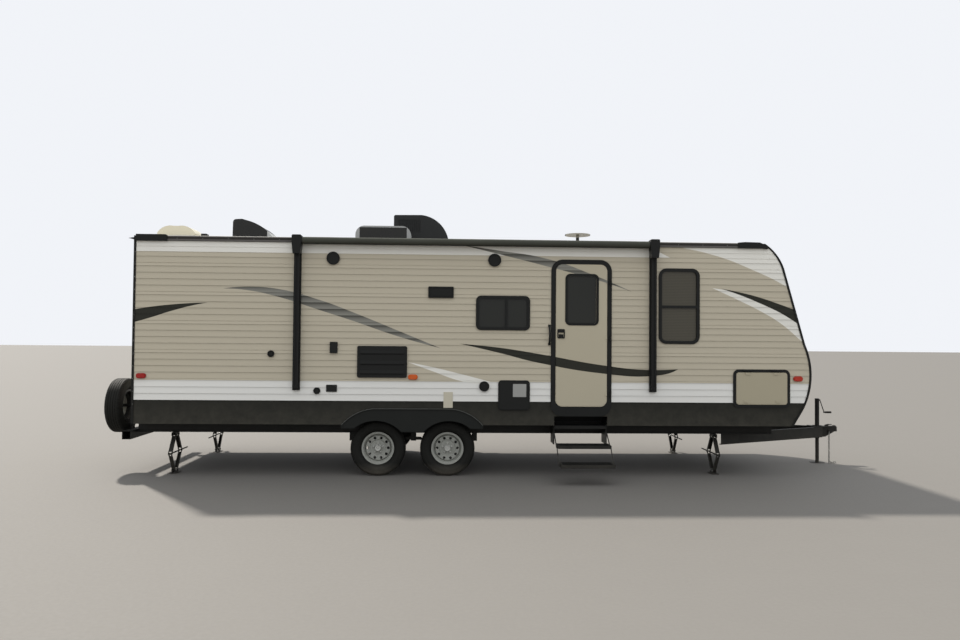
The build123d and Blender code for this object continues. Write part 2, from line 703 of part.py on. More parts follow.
# Spare wheel upright on a post behind the bumper
spare_x = -9095.0
spare_y = -739.0
spare_z = 806.0
spare_turn = Pos(spare_x, spare_y, spare_z) * Rot(0, 0, 90)
post_x1 = rail_rear_x - bumper_size
post_depth = 40.0
post = block(post_x1 - post_depth, post_x1, spare_y - 25, spare_y + 25, bumper_z0, spare_z + 60)
post += rod(post_x1 - post_depth + 1, spare_y, spare_z, spare_x - 40, spare_y, spare_z, 20)
parts["spare_rim"] = spare_turn * spare_plain_rim + post
parts["spare_tyre"] = spare_turn * tyre

# Wheel skirts: one plastic moulding a side over both wheels

def arch_face(hub_x, inner):
    """Wheel arch: from the end's height up over the tyre and down to the tongue."""
    reach = 275.0
    tongue = 285.0
    outer_x = hub_x - inner * reach
    tongue_x = hub_x + inner * tongue
    low = fender_tongue_z - 40
    return make_face([
        Line((outer_x, low), (outer_x, fender_end_z)),
        ThreePointArc((outer_x, fender_end_z), (hub_x, fender_arch_top_z), (tongue_x, fender_tongue_z)),
        Line((tongue_x, fender_tongue_z), (tongue_x, low)),
        Line((tongue_x, low), (outer_x, low)),
    ])


def fender():
    c = axle_mid_x
    plate = near_extrude(fender_top(0, fender_tongue_z), skirt_face_y, skirt_face_y + fender_plate)
    plate_y = skirt_face_y + fender_plate
    lip = near_extrude(fender_top(0, fender_end_z), plate_y, plate_y + fender_lip)
    lip -= near_extrude(fender_top(fender_lip_width, fender_end_z - 5), skirt_face_y, skirt_face_y + 40)
    shape = plate + lip
    for hub_x, inner in ((hub_xs[0], 1), (hub_xs[1], -1)):
        shape -= near_extrude(arch_face(hub_x, inner), skirt_face_y - 5, skirt_face_y + 60)
        x0, x1 = sorted((hub_x - inner * 275, hub_x - inner * 500))
        shape -= block(x0, x1, -half_width - 60, -half_width + 20, fender_tongue_z - 5, fender_end_z)
    return shape


near_fender = fender()
parts["fenders"] = Compound(children=[near_fender, far(near_fender)])

# Fittings on the side walls: black plastic frames, vents and covers
fitting_table = (
    # x0, x1, z0, z1, corner, proud
    (-6488.0, -6397.0, 1477.0, 1611.0, 10.0, 22.0),
    (-6526.0, -6399.0, 1018.0, 1101.0, 8.0, 10.0),
    (-5132.0, -5022.0, 834.0, 1022.0, 3.0, 3.0),
)
speaker_radius = 78.0
round_fitting_table = (
    # x, z, radius, proud, width of the rim, depth inside the rim
    (-7181.0, 1464.0, 40.0, 18.0, 7.0, 8.0),
    (-6635.0, 1029.0, 40.0, 18.0, 7.0, 8.0),
    (-4647.0, 1093.0, 61.0, 22.0, 9.0, 8.0),
    (-6462.0, 2608.0, speaker_radius, 20.0, 9.0, 7.0),
    (-4533.0, 2608.0, speaker_radius, 20.0, 9.0, 7.0),
)
far_fitting_table = (
    (-7900.0, -7750.0, 1000.0, 1150.0, 12.0, 20.0),
    (-3600.0, -3450.0, 1250.0, 1400.0, 12.0, 20.0),
)


def window_frame(x0, x1, z0, z1, corner):
    outer = half_width + window_proud
    frame = near_panel(x0, x1, z0, z1, corner, half_width, outer)
    cut = window_flange - window_sleeve + fit_gap
    frame += near_panel(x0 + cut, x1 - cut, z0 + cut, z1 - cut, corner - cut, wall_inner_y, half_width + 1)
    frame -= near_panel(x0 + window_flange, x1 - window_flange, z0 + window_flange, z1 - window_flange,
                        corner - window_flange, wall_inner_y - 5, outer + 5)
    return frame


glass_y = half_width - 14.0
mullion_width = 30.0
pieces = []
panes = []
for x0, x1, z0, z1, corner in window_table:
    frame = window_frame(x0, x1, z0, z1, corner)
    if x1 - x0 > z1 - z0:
        middle = (x0 + x1) / 2 + 40
        frame += block(middle - mullion_width / 2, middle + mullion_width / 2, -half_width - window_proud,
                       -glass_y - glass_thickness - fit_gap, z0 + window_flange - 2, z1 - window_flange + 2)
    else:
        middle = (z0 + z1) / 2 - 8
        frame += block(x0 + window_flange - 2, x1 - window_flange + 2, -half_width - window_proud,
                       -glass_y - glass_thickness - fit_gap, middle - mullion_width / 2, middle + mullion_width / 2)
    inset = window_flange + fit_gap
    pane = near_panel(x0 + inset, x1 - inset, z0 + inset, z1 - inset, corner - inset, glass_y,
                      glass_y + glass_thickness)
    pieces += [frame, far(frame)]
    panes += [pane, far(pane)]
parts["window_glass"] = Compound(children=panes)


def locker_frame():
    outer = half_width + door_proud
    frame = near_panel(locker_x0, locker_x1, locker_z0, locker_z1, locker_corner, half_width, outer)
    cut = locker_flange + fit_gap
    frame += near_panel(locker_x0 + cut, locker_x1 - cut, locker_z0 + cut, locker_z1 - cut, locker_corner - cut,
                        wall_inner_y, half_width + 1)
    inner = cut + 6
    frame -= near_panel(locker_x0 + inner, locker_x1 - inner, locker_z0 + inner, locker_z1 - inner,
                        locker_corner - inner, wall_inner_y - 5, outer + 5)
    return frame


frame_sleeve = 6.0
leaf_inset = fit_gap + frame_sleeve + door_gap
leaf_proud = 5.5
leaf_step = 9.0
hinge_standoff = 4.5
knuckle_gap = 0.5


def leaf_panel(x0, x1, z0, z1, corner, flange, thickness):
    """A door leaf filling its frame with a running gap: a slab with a raised middle."""
    outer = half_width + door_proud + leaf_proud
    inset = flange + leaf_inset
    panel = near_panel(x0 + inset, x1 - inset, z0 + inset, z1 - inset, corner - inset,
                       outer - leaf_proud - thickness, outer - 2)
    inset += leaf_step
    return panel + near_panel(x0 + inset, x1 - inset, z0 + inset, z1 - inset, corner - inset, outer - 5, outer)


pin_standoff = door_proud + hinge_standoff + hinge_radius
locker_near = locker_frame()
locker_pin_z = locker_z1 - 16.0
locker_pin_y = half_width + pin_standoff
leaf_face_y = half_width + door_proud + leaf_proud - 3
locker = leaf_panel(locker_x0, locker_x1, locker_z0, locker_z1, locker_corner, locker_flange, locker_thickness)
hinge_xs = [locker_x0 + (locker_x1 - locker_x0) * share for share in (0.25, 0.75)]
for x in hinge_xs:
    half = hinge_length / 2
    locker += rod(x - half, -locker_pin_y, locker_pin_z, x + half, -locker_pin_y, locker_pin_z, hinge_radius)
    locker += block(x - half, x + half, -locker_pin_y, -locker_pin_y + 3, locker_pin_z - 50, locker_pin_z)
    locker += block(x - half, x + half, -locker_pin_y, -leaf_face_y, locker_pin_z - 50, locker_pin_z - 26)
    for end in (-1, 1):
        near_x, far_x = x + end * (half + knuckle_gap), x + end * (half + 22)
        locker_near += rod(near_x, -locker_pin_y, locker_pin_z, far_x, -locker_pin_y, locker_pin_z, hinge_radius)
        low_x, high_x = sorted((near_x, far_x))
        locker_near += block(low_x, high_x, -locker_pin_y, -half_width - door_proud + 1, locker_pin_z,
                             locker_z1 - 4)
catch_xs = [locker_x0 + (locker_x1 - locker_x0) * share for share in (0.22, 0.78)]
for x in catch_xs:
    locker += near_panel(x - 26, x + 26, locker_z0 + 62, locker_z0 + 92, 8, leaf_face_y, leaf_face_y + 10)
pieces += [locker_near, far(locker_near)]
parts["locker_door_near"] = locker
parts["locker_door_far"] = far(locker)

for x0, x1, z0, z1, corner, proud in fitting_table:
    pieces.append(near_panel(x0, x1, z0, z1, corner, half_width, half_width + proud))
for x0, x1, z0, z1, corner, proud in far_fitting_table:
    pieces.append(far(near_panel(x0, x1, z0, z1, corner, half_width, half_width + proud)))
for x, z, radius, proud, ring, recess in round_fitting_table:
    disc = rod(x, -half_width, z, x, -half_width - proud, z, radius)
    disc -= rod(x, -half_width - proud + recess, z, x, -half_width - proud - 5, z, radius - ring)
    if radius < speaker_radius:
        disc += rod(x, -half_width - proud + recess + 1, z, x, -half_width - proud - 3, z, 0.38 * radius)
    pieces.append(disc)

# Louvred cover of the refrigerator: broad blades, each one lapped over the next
louvre_rows = (1238.0, 1351.0, 1476.0)
cover_x0, cover_x1, cover_z0, cover_z1 = -6163.0, -5571.0, 1189.0, 1566.0
cover_proud = 18.0
cover = near_panel(cover_x0, cover_x1, cover_z0, cover_z1, 22, half_width, half_width + cover_proud)
cover_border = 34.0
slot_height = 14.0
blade_rise = 52.0
blade_y = -half_width - cover_proud
for z in louvre_rows:
    cover -= block(cover_x0 + cover_border, cover_x1 - cover_border, -half_width - 40, -half_width - 6, z - slot_height, z)
    blade = make_face(Polyline((-half_width - 8, z), (blade_y - 5, z), (blade_y - 5, z + 5),
                               (blade_y + 2, z + blade_rise), (-half_width - 8, z + blade_rise), close=True))
    cover += Pos(cover_x0 + cover_border, 0, 0) * extrude(
        Plane.YZ * blade, amount=cover_x1 - cover_x0 - 2 * cover_border)
pieces.append(cover)

# Outlet of the range hood: a frame around a flap
outlet_x0, outlet_x1, outlet_z0, outlet_z1 = -5326.0, -5022.0, 2147.0, 2283.0
outlet = near_panel(outlet_x0, outlet_x1, outlet_z0, outlet_z1, 12, half_width, half_width + 16)
for inset, corner, y0, y1 in ((16, 6, 8, 30), (24, 4, 5, 13)):
    middle = near_panel(outlet_x0 + inset, outlet_x1 - inset, outlet_z0 + inset, outlet_z1 - inset, corner,
                        half_width + y0, half_width + y1)
    outlet = outlet - middle if inset == 16 else outlet + middle
pieces.append(outlet)

# Hatch of the water heater: a rounded cover over the skirt's edge
heater_x0, heater_x1, heater_z0, heater_z1 = -4479.0, -4098.0, 808.0, 1167.0
heater = near_panel(heater_x0, heater_x1, heater_z0, heater_z1, 45, half_width, half_width + 12)
heater += near_panel(heater_x0 + 14, heater_x1 - 14, heater_z0 + 14, heater_z1 - 14, 34, half_width + 11,
                     half_width + 20)
pieces.append(heater)
pieces.append(near_panel(heater_x0 + 176, heater_x1 - 45, heater_z1 - 198, heater_z1 - 43, 3,
                         half_width + 20 + fit_gap, half_width + 23))

# Bowed grab handle beside the door
grab_x = -3866.0
grab_z0 = 1594.0
grab_z1 = 1835.0
grab_reach = 52.0
grab_wire = 20.0
grab_mid_z = (grab_z0 + grab_z1) / 2
outer_bow = ThreePointArc((-half_width, grab_z0), (-half_width - grab_reach, grab_mid_z), (-half_width, grab_z1))
inner_bow = ThreePointArc((-half_width, grab_z1 - grab_wire), (-half_width - grab_reach + 15, grab_mid_z),
                          (-half_width, grab_z0 + grab_wire))
bow_face = make_face([outer_bow, Line(outer_bow @ 1, inner_bow @ 0), inner_bow, Line(inner_bow @ 1, outer_bow @ 0)])
grab = Pos(grab_x - 11, 0, 0) * extrude(Plane.YZ * bow_face, amount=22)
for z in (grab_z0 - 4, grab_z1 - grab_wire - 4):
    grab += block(grab_x - 15, grab_x + 15, -half_width - 5, -half_width, z, z + grab_wire + 8)
pieces.append(grab)

# Entry door in its frame, hinged at its front edge
door_outer = half_width + door_proud
frame = near_panel(door_x0, door_x1, door_z0, door_z1, door_corner, half_width, door_outer)
cut = door_flange + fit_gap
frame += near_panel(door_x0 + cut, door_x1 - cut, door_z0 + cut, door_z1 - cut, door_corner - cut, wall_inner_y,
                    half_width + 1)
inner = cut + frame_sleeve
frame -= near_panel(door_x0 + inner, door_x1 - inner, door_z0 + inner + door_sill, door_z1 - inner,
                    door_corner - inner, wall_inner_y - 5, door_outer + 5)
door_pin_x = door_x1 - 17.0
door_pin_y = half_width + pin_standoff
leaf_shape = leaf_panel(door_x0, door_x1, door_z0 + door_sill, door_z1, door_corner, door_flange,
                        door_leaf_thickness)
wx0, wx1, wz0, wz1 = door_window
ring_width = 30.0
ring_y = door_outer + leaf_proud + 5
leaf_shape += near_panel(wx0, wx1, wz0, wz1, door_window_corner, door_outer, ring_y)
leaf_shape -= near_panel(wx0 + ring_width, wx1 - ring_width, wz0 + ring_width, wz1 - ring_width,
                         door_window_corner - ring_width, half_width - 60, half_width + 60)
pane_inset = ring_width + fit_gap
parts["door_glass"] = near_panel(wx0 + pane_inset, wx1 - pane_inset, wz0 + pane_inset, wz1 - pane_inset,
                                 door_window_corner - pane_inset, half_width - 4, half_width - 4 + glass_thickness)
handle_x0, handle_x1, handle_z0, handle_z1 = -3772.0, -3682.0, 1675.0, 1787.0
latch = near_panel(handle_x0, handle_x1, handle_z0, handle_z1, 14, door_outer, ring_y + 4)
latch -= near_panel(handle_x0 + 12, handle_x1 - 12, handle_z0 + 12, handle_z0 + 70, 6, ring_y - 8, ring_y + 20)
latch += near_panel(handle_x0 + 17, handle_x1 - 17, handle_z0 + 8, handle_z0 + 50, 5, ring_y - 9, ring_y + 2)
leaf_shape += latch
knuckle_half = 15.0
knuckle_length = 20.0
for share in (0.14, 0.5, 0.86):
    z = door_z0 + (door_z1 - door_z0) * share
    z0, z1 = z - knuckle_half, z + knuckle_half
    leaf_shape += rod(door_pin_x, -door_pin_y, z0, door_pin_x, -door_pin_y, z1, hinge_radius)
    leaf_shape += block(door_pin_x - 66, door_pin_x, -door_pin_y, -door_pin_y + 3, z0, z1)
    leaf_shape += block(door_pin_x - 66, door_pin_x - 44, -door_pin_y, -door_outer - leaf_proud + 3, z0, z1)
    for end in (-1, 1):
        near_z, far_z = z + end * (knuckle_half + knuckle_gap), z + end * (knuckle_half + knuckle_length)
        z0, z1 = sorted((near_z, far_z))
        frame += rod(door_pin_x, -door_pin_y, z0, door_pin_x, -door_pin_y, z1, hinge_radius)
        frame += block(door_pin_x, door_x1 - 3, -door_pin_y, -door_outer + 1, z0, z1)
pieces.append(frame)
parts["wall_fittings"] = Compound(children=pieces)
parts["entry_door"] = leaf_shape

# Lamps
lamp_table = (
    # x, z of the side markers
    (-5500.0, 1198.0),
    (-8691.0, 1194.0),
    (-825.0, 1206.0),
)
lamps = []
for x, z in lamp_table:
    lamp = near_panel(x - 58, x + 58, z - 31, z + 31, 29, half_width, half_width + 14)
    lamp += near_panel(x - 48, x + 48, z - 22, z + 22, 20, half_width + 13, half_width + 22)
    lamps += [lamp, far(lamp)]
rear_lamp_table = (
    # distance of the inner and outer end from the middle, z0, z1, proud
    (930.0, 1130.0, 980.0, 1080.0, 30.0),
    (1050.0, 1150.0, 2690.0, 2725.0, 22.0),
)
for y0, y1, z0, z1, proud in rear_lamp_table:
    lamp = block(rear_x - proud, rear_x + lap_depth, y0, y1, z0, z1) - rear_wall
    lamps += [lamp, far(lamp)]
middle_lamp_z = (2690.0, 2725.0)
for y in (-90, 0, 90):
    lamps.append(block(rear_x - 22, rear_x + lap_depth, y - 35, y + 35, *middle_lamp_z) - rear_wall)
parts["lamps"] = Compound(children=lamps)

# Corner mouldings and drip rails
trim_proud = 4.0
trim_width = 24.0
trim_band = block(roof_front_x, 0, -half_width - 20, half_width + 20, body_bottom_z, roof_edge_z)
flat = profile_prism(-half_width - trim_proud, -half_width, trim_proud) - profile_prism(
    -half_width - 10, -half_width + 5, -trim_width)
wrap = profile_prism(-half_width, -half_width + trim_width, trim_proud) - profile_prism(
    -half_width - 5, -half_width + trim_width + 5)
front_trim = (flat + wrap) & trim_band
rear_trim = block(rear_x - trim_proud, rear_x + trim_width, -half_width - trim_proud, -half_width, body_bottom_z,
                  roof_edge_z)
rear_trim += block(rear_x - trim_proud, rear_x, -half_width - trim_proud, -half_width + trim_width, body_bottom_z,
                   roof_edge_z)
drip_x1 = -1290.0
drip_depth = 17.0
cap_depth = 25.0
drip = block(rear_x + trim_width, drip_x1, -half_width - drip_depth, -half_width, roof_underside_z + 5, roof_edge_z)
groove_y = -half_width - drip_depth
drip -= block(rear_x - 5, drip_x1 + 5, groove_y - 5, groove_y + 6, roof_underside_z + 22, roof_edge_z - 12)
cap_z0 = roof_underside_z - 3
cap_z1 = roof_edge_z + 16
cap_x0 = rear_x + trim_width
cap_x1 = rear_x + 390
rear_cap = Polyline((cap_x0, cap_z0), (cap_x0, cap_z1), (cap_x1 - 20, cap_z1), (cap_x1, cap_z1 - 14),
                    (cap_x1, cap_z0), close=True)
front_cap = Polyline((drip_x1 - 278, cap_z0 + 3), (drip_x1 - 278, cap_z1 - 8), (drip_x1 - 195, cap_z1),
                     (drip_x1 - 10, cap_z1 - 3), (drip_x1 + 28, cap_z1 - 20), (drip_x1 + 100, cap_z0 + 5),
                     (drip_x1 + 75, cap_z0 - 5), (drip_x1 + 28, cap_z0 + 3), close=True)
for outline in (rear_cap, front_cap):
    drip += Pos(0, -half_width, 0) * extrude(Plane.XZ * make_face(outline), amount=cap_depth)
spout_z = 2826.0
spout_face = make_face(Polyline((rear_x - 62, spout_z - 10), (rear_x - 4, spout_z), (rear_x + 30, spout_z),
                                (rear_x + 30, spout_z - 24), (rear_x - 4, spout_z - 24), close=True))
drip += Pos(0, -half_width - 6, 0) * extrude(Plane.XZ * spout_face, amount=cap_depth - 8)
trims = []
for piece in (front_trim, rear_trim, drip):
    trims += [piece, far(piece)]
parts["edge_trim"] = Compound(children=trims)

# Awning: two arms on the wall carry the rolled cloth
awning_xs = (-6878.0, -2612.0)
awning_width = 86.0
awning_z0 = 1036.0
awning_z1 = roof_edge_z - 130.0
roller_y = half_width + 82.0
roller_z = roof_edge_z - 42.0
roller_radius = 39.0
arm_base_depth = 30.0
arm_reach_y = half_width + 66.0
arm_half = 30.0
groove_half = 13.0
groove_depth = 9.0
end_cap_radius = 45.0
head_half = 56.0
head_z1 = roller_z + 64.0
awning = Part()
for x, inward in zip(awning_xs, (1, -1)):
    base_y = -half_width - arm_base_depth
    awning += block(x - awning_width / 2, x + awning_width / 2, base_y, -half_width, awning_z0, awning_z1 + 60)
    awning += block(x - arm_half, x + arm_half, -arm_reach_y, base_y + 1, awning_z0 + 30, awning_z1)
    awning -= block(x - groove_half, x + groove_half, -arm_reach_y - 5, -arm_reach_y + groove_depth, awning_z0 + 60,
                    awning_z1 - 80)
    foot_z = awning_z0 + 66
    awning += rod(x - arm_half - 7, -half_width - 50, foot_z, x + arm_half + 7, -half_width - 50, foot_z, 9)
    head_face = make_face(Polyline(
        (x - head_half, head_z1 - 10), (x - head_half + 10, head_z1), (x + head_half - 10, head_z1),
        (x + head_half, head_z1 - 10), (x + head_half, head_z1 - 92), (x + awning_width / 2, head_z1 - 222),
        (x - awning_width / 2, head_z1 - 222), (x - head_half, head_z1 - 92), close=True))
    awning += Pos(0, -half_width - 18, 0) * extrude(Plane.XZ * head_face, amount=roller_y + 44 - half_width - 18)
    strap_z0, strap_z1 = head_z1 - 232, head_z1 - 72
    strap_mid_z = (strap_z0 + strap_z1) / 2
    strap_out = ThreePointArc((x + inward * 58, strap_z1), (x + inward * 52, strap_mid_z), (x + inward * 28, strap_z0))
    strap_in = ThreePointArc((x + inward * 16, strap_z0), (x + inward * 41, strap_mid_z + 2), (x + inward * 46, strap_z1))
    strap = make_face([strap_out, Line(strap_out @ 1, strap_in @ 0), strap_in, Line(strap_in @ 1, strap_out @ 0)])
    awning += Pos(0, -roller_y + 16, 0) * extrude(Plane.XZ * strap, amount=32)
    cap_x0, cap_x1 = x + inward * 50, x + inward * 66
    awning += rod(cap_x0, -roller_y, roller_z, cap_x1, -roller_y, roller_z, end_cap_radius)
awning += rod(awning_xs[0] + 50, -roller_y, roller_z, awning_xs[1] - 50, -roller_y, roller_z, roller_radius)
awning -= block(awning_xs[0] - 200, awning_xs[1] + 200, -half_width - drip_depth - 3, -half_width + 30,
                roof_underside_z, roof_edge_z + 10)
parts["awning"] = awning

# Entry steps
tread_table = (
    # y of the middle, top height
    (-half_width + 139.0, 622.0),
    (-half_width - 181.0, 425.0),
    (-half_width - 421.0, 238.0),
)
tread_depth = 210.0
tread_thickness = 38.0
step_x0 = -3790.0
step_x1 = -3166.0
steps = Part()
tread_plate = 5.0
for y, z in tread_table:
    y0, y1 = y - tread_depth / 2, y + tread_depth / 2
    steps += block(step_x0, step_x1, y0, y1, z - tread_thickness, z)
    steps -= block(step_x0 + tread_plate, step_x1 - tread_plate, y0 + tread_plate, y1 - tread_plate,
                   z - tread_thickness - 5, z - tread_plate)
for x0, x1 in ((step_x0 - 12, step_x0), (step_x1, step_x1 + 12)):
    steps += block(x0, x1, -1170, -rail_y - rail_flange / 2 - 2, 395, 635)
    steps += block(x0, x1, -rail_y - rail_flange / 2 - 3, -rail_y - rail_thickness / 2, rail_z0 + rail_thickness,
                   rail_top_z - rail_thickness)
    for (ya, za), (yb, zb) in zip(tread_table, tread_table[1:]):
        bar_face = make_face(Polyline(
            (ya - 40, za - 40), (ya, za - 5), (yb + 40, zb - 5), (yb, zb - 38), close=True))
        steps += Pos(x0, 0, 0) * extrude(Plane.YZ * bar_face, amount=x1 - x0)
parts["steps"] = steps

# Roof equipment, each cut to sit on the crown
roof_solid = parts["roof"]
below_roof_z = roof_edge_z + 20.0
crown_z = roof_edge_z + roof_crown


def roof_piece(edges, y0, y1):
    """A piece on the roof from the outline of its side, between two y values."""
    return (Pos(0, y1, 0) * extrude(Plane.XZ * make_face(edges), amount=y1 - y0)) - roof_solid


unit_half_y = 348.0
unit_x0 = -5809.0
unit_x1 = -5097.0
unit_rise = 330.0
unit_top_z = crown_z + unit_rise
unit_rear_z = unit_top_z - 25
unit_nose_z = crown_z + 25
unit = roof_piece([
    Line((unit_x0, below_roof_z), (unit_x0, unit_rear_z)),
    ThreePointArc((unit_x0, unit_rear_z), (unit_x0 + 9, unit_rear_z + 15), (unit_x0 + 30, unit_top_z - 4)),
    Line((unit_x0 + 30, unit_top_z - 4), (unit_x1 - 353, unit_top_z)),
    ThreePointArc((unit_x1 - 353, unit_top_z), (unit_x1 - 138, unit_top_z - 87), (unit_x1, unit_nose_z)),
    Line((unit_x1, unit_nose_z), (unit_x1, below_roof_z)),
    Line((unit_x1, below_roof_z), (unit_x0, below_roof_z)),
], -unit_half_y, unit_half_y)
louvre_count = 12
louvre_pitch = 25.0
louvre_width = 11.0
louvre_depth = 14.0
louvre_z0 = crown_z + 100
louvre_z1 = unit_top_z - 65
for index in range(louvre_count):
    x = unit_x0 + 60 + index * louvre_pitch
    slot = block(x, x + louvre_width, -unit_half_y - 5, -unit_half_y + louvre_depth, louvre_z0, louvre_z1)
    unit -= slot
    unit -= far(slot)
parts["air_conditioner"] = unit

hood_x0 = -7929.0
hood_x1 = -7400.0
hood_rise = 263.0
hood_top_z = crown_z + hood_rise
hood_end_z = crown_z + 20
hood_half_y = 240.0
vents = [roof_piece([
    Line((hood_x0, below_roof_z), (hood_x0 + 6, hood_top_z - 45)),
    ThreePointArc((hood_x0 + 6, hood_top_z - 45), (hood_x0 + 18, hood_top_z - 18), (hood_x0 + 45, hood_top_z - 5)),
    Line((hood_x0 + 45, hood_top_z - 5), (hood_x0 + 122, hood_top_z)),
    Line((hood_x0 + 122, hood_top_z), (hood_x0 + 200, hood_top_z - 22)),
    ThreePointArc((hood_x0 + 200, hood_top_z - 22), (hood_x0 + 390, hood_top_z - 108), (hood_x1, hood_end_z)),
    Line((hood_x1, hood_end_z), (hood_x1, below_roof_z)),
    Line((hood_x1, below_roof_z), (hood_x0, below_roof_z)),
], -hood_half_y, hood_half_y)]
dome_table = (
    # x0, x1, y0, y1, rise of the top and of the shoulders over the crown, length of the end curves
    (-6274.0, -5571.0, -640.0, -360.0, 138.0, 25.0, 110.0),
    (-8730.0, -8265.0, -700.0, -340.0, 93.0, 5.0, 200.0),
    (-8240.0, -8164.0, -540.0, -460.0, 21.0, 10.0, 10.0),
)
for x0, x1, y0, y1, top_rise, shoulder_rise, curve in dome_table:
    top_z, shoulder_z = crown_z + top_rise, crown_z + shoulder_rise
    rise = top_z - shoulder_z
    vents.append(roof_piece([
        Line((x0, below_roof_z), (x0, shoulder_z)),
        ThreePointArc((x0, shoulder_z), (x0 + 0.3 * curve, shoulder_z + 0.7 * rise), (x0 + curve, top_z)),
        Line((x0 + curve, top_z), (x1 - curve, top_z)),
        ThreePointArc((x1 - curve, top_z), (x1 - 0.3 * curve, shoulder_z + 0.7 * rise), (x1, shoulder_z)),
        Line((x1, shoulder_z), (x1, below_roof_z)),
        Line((x1, below_roof_z), (x0, below_roof_z)),
    ], y0, y1))
disc_x = -3330.0
disc_radius = 172.0
disc_z = crown_z + 146.0
disc_thickness = 14.0
disc = Pos(disc_x, 0, disc_z - disc_thickness / 2) * Cylinder(disc_radius, disc_thickness)
disc += rod(disc_x, 0, below_roof_z, disc_x, 0, disc_z - 1, 22)
vents.append(disc - roof_solid)
parts["roof_vents"] = Compound(children=vents)

# Safety chain hanging from the coupler, its end and hook on the ground
link_length = 44.0
link_width = 24.0
link_wire = 6.0
link_pitch = link_length - 2 * link_wire - 0.6
flat_link = extrude(SlotOverall(link_length, link_width), amount=link_wire / 2, both=True)
link_hole = SlotOverall(link_length - 2 * link_wire, link_width - 2 * link_wire)
flat_link -= extrude(link_hole, amount=link_wire, both=True)
links = []
hanging_count = 13
for index in range(hanging_count):
    z = chain_top_z - index * link_pitch
    links.append(Pos(chain_x, chain_y, z) * Rot(0, 0, 90 * (index % 2)) * Rot(0, 90, 0) * flat_link)
ground_links = (
    # x ahead of the hanging links, turn about X
    (12.0, 90.0),
    (12.0 + link_pitch, 0.0),
    (12.0 + 2 * link_pitch, 90.0),
)
for ahead, turn in ground_links:
    links.append(Pos(chain_x + ahead, chain_y, link_width / 2 + 0.5) * Rot(turn, 0, 0) * flat_link)
parts["safety_chain"] = Compound(children=links)

for node, shape in parts.items():
    export_step(shape, "parts/" + node + ".step")
    print(node, len(shape.solids()), round(shape.volume / 1e6, 2))
print(len(parts), "nodes")
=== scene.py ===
# Travel caravan: finishes, graphics, glass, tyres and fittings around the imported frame.
# Metres. +X points to the coupler, +Z up, the door side is at -Y.
import math

import bmesh
import bpy
import numpy as np
from mathutils import Matrix, Vector


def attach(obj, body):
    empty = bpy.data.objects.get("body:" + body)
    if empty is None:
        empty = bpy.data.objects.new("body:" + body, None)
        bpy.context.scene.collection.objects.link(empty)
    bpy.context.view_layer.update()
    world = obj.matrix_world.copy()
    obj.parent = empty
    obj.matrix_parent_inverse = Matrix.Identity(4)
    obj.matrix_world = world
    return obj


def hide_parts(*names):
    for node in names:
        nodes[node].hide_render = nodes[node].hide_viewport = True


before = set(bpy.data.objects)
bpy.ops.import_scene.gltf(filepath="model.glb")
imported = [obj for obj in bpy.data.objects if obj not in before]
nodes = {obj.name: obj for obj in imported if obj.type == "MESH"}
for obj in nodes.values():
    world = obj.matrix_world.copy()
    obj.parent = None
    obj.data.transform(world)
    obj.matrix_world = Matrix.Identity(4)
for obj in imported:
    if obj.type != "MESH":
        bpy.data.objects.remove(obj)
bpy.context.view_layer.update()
print("frame loaded:", len(nodes), "nodes")


# Small helpers

def srgb(red, green, blue):
    # 0 to 255 display values to scene linear
    out = []
    for value in (red, green, blue):
        part = value / 255
        out.append(part / 12.92 if part <= 0.04045 else ((part + 0.055) / 1.055) ** 2.4)
    return (*out, 1.0)


def join(tree, value, target):
    # a number, vector or colour is set on the input; a socket is linked to it
    if isinstance(value, (int, float, tuple)):
        target.default_value = value
    else:
        tree.links.new(value, target)


def addNode(tree, kind, **values):
    # each value goes to the node's property of that name, or else to its input
    node = tree.nodes.new(kind)
    for key, value in values.items():
        if hasattr(node, key):
            setattr(node, key, value)
        else:
            join(tree, value, node.inputs[key.replace("_", " ")])
    return node


def mathNode(tree, operation, *values, clamp=False):
    # one Math node: each operand is a socket or a number
    node = addNode(tree, "ShaderNodeMath", operation=operation, use_clamp=clamp)
    for value, target in zip(values, node.inputs):
        join(tree, value, target)
    return node.outputs[0]


def mixColour(tree, factor, first, second, blend="MIX"):
    node = addNode(tree, "ShaderNodeMix", data_type="RGBA", blend_type=blend)
    for index, value in ((0, factor), (6, first), (7, second)):
        join(tree, value, node.inputs[index])
    return node.outputs[2]


def mapRange(tree, value, **ends):
    return addNode(tree, "ShaderNodeMapRange", Value=value, **ends).outputs[0]


def newGroup(name, inputs, outputs):
    # inputs are names with defaults, None for a vector that is always linked; outputs are names of floats
    tree = bpy.data.node_groups.new(name, "ShaderNodeTree")
    for label, value in inputs.items():
        kind = "NodeSocketFloat" if isinstance(value, float) else "NodeSocketVector"
        socket = tree.interface.new_socket(name=label, in_out="INPUT", socket_type=kind)
        if value is not None:
            socket.default_value = value
    for label in outputs:
        tree.interface.new_socket(name=label, in_out="OUTPUT", socket_type="NodeSocketFloat")
    start = tree.nodes.new("NodeGroupInput")
    end = tree.nodes.new("NodeGroupOutput")
    return tree, start.outputs, end.inputs


def useGroup(tree, group, **values):
    return addNode(tree, "ShaderNodeGroup", node_tree=group, **values).outputs


def newMaterial(name):
    material = bpy.data.materials.new(name)
    material.use_nodes = True
    tree = material.node_tree
    shader = tree.nodes["Principled BSDF"]
    place = tree.nodes.new("ShaderNodeTexCoord").outputs["Object"]
    return material, tree, shader, place


def splitAxes(tree, place):
    return addNode(tree, "ShaderNodeSeparateXYZ", Vector=place).outputs


def toned(tree, colour, value, low, high):
    # the colour times a grey that runs from low to high with the value
    shade = mapRange(tree, value, To_Min=low, To_Max=high)
    tone = addNode(tree, "ShaderNodeCombineXYZ", X=shade, Y=shade, Z=shade)
    return mixColour(tree, 1.0, colour, tone.outputs[0], "MULTIPLY")


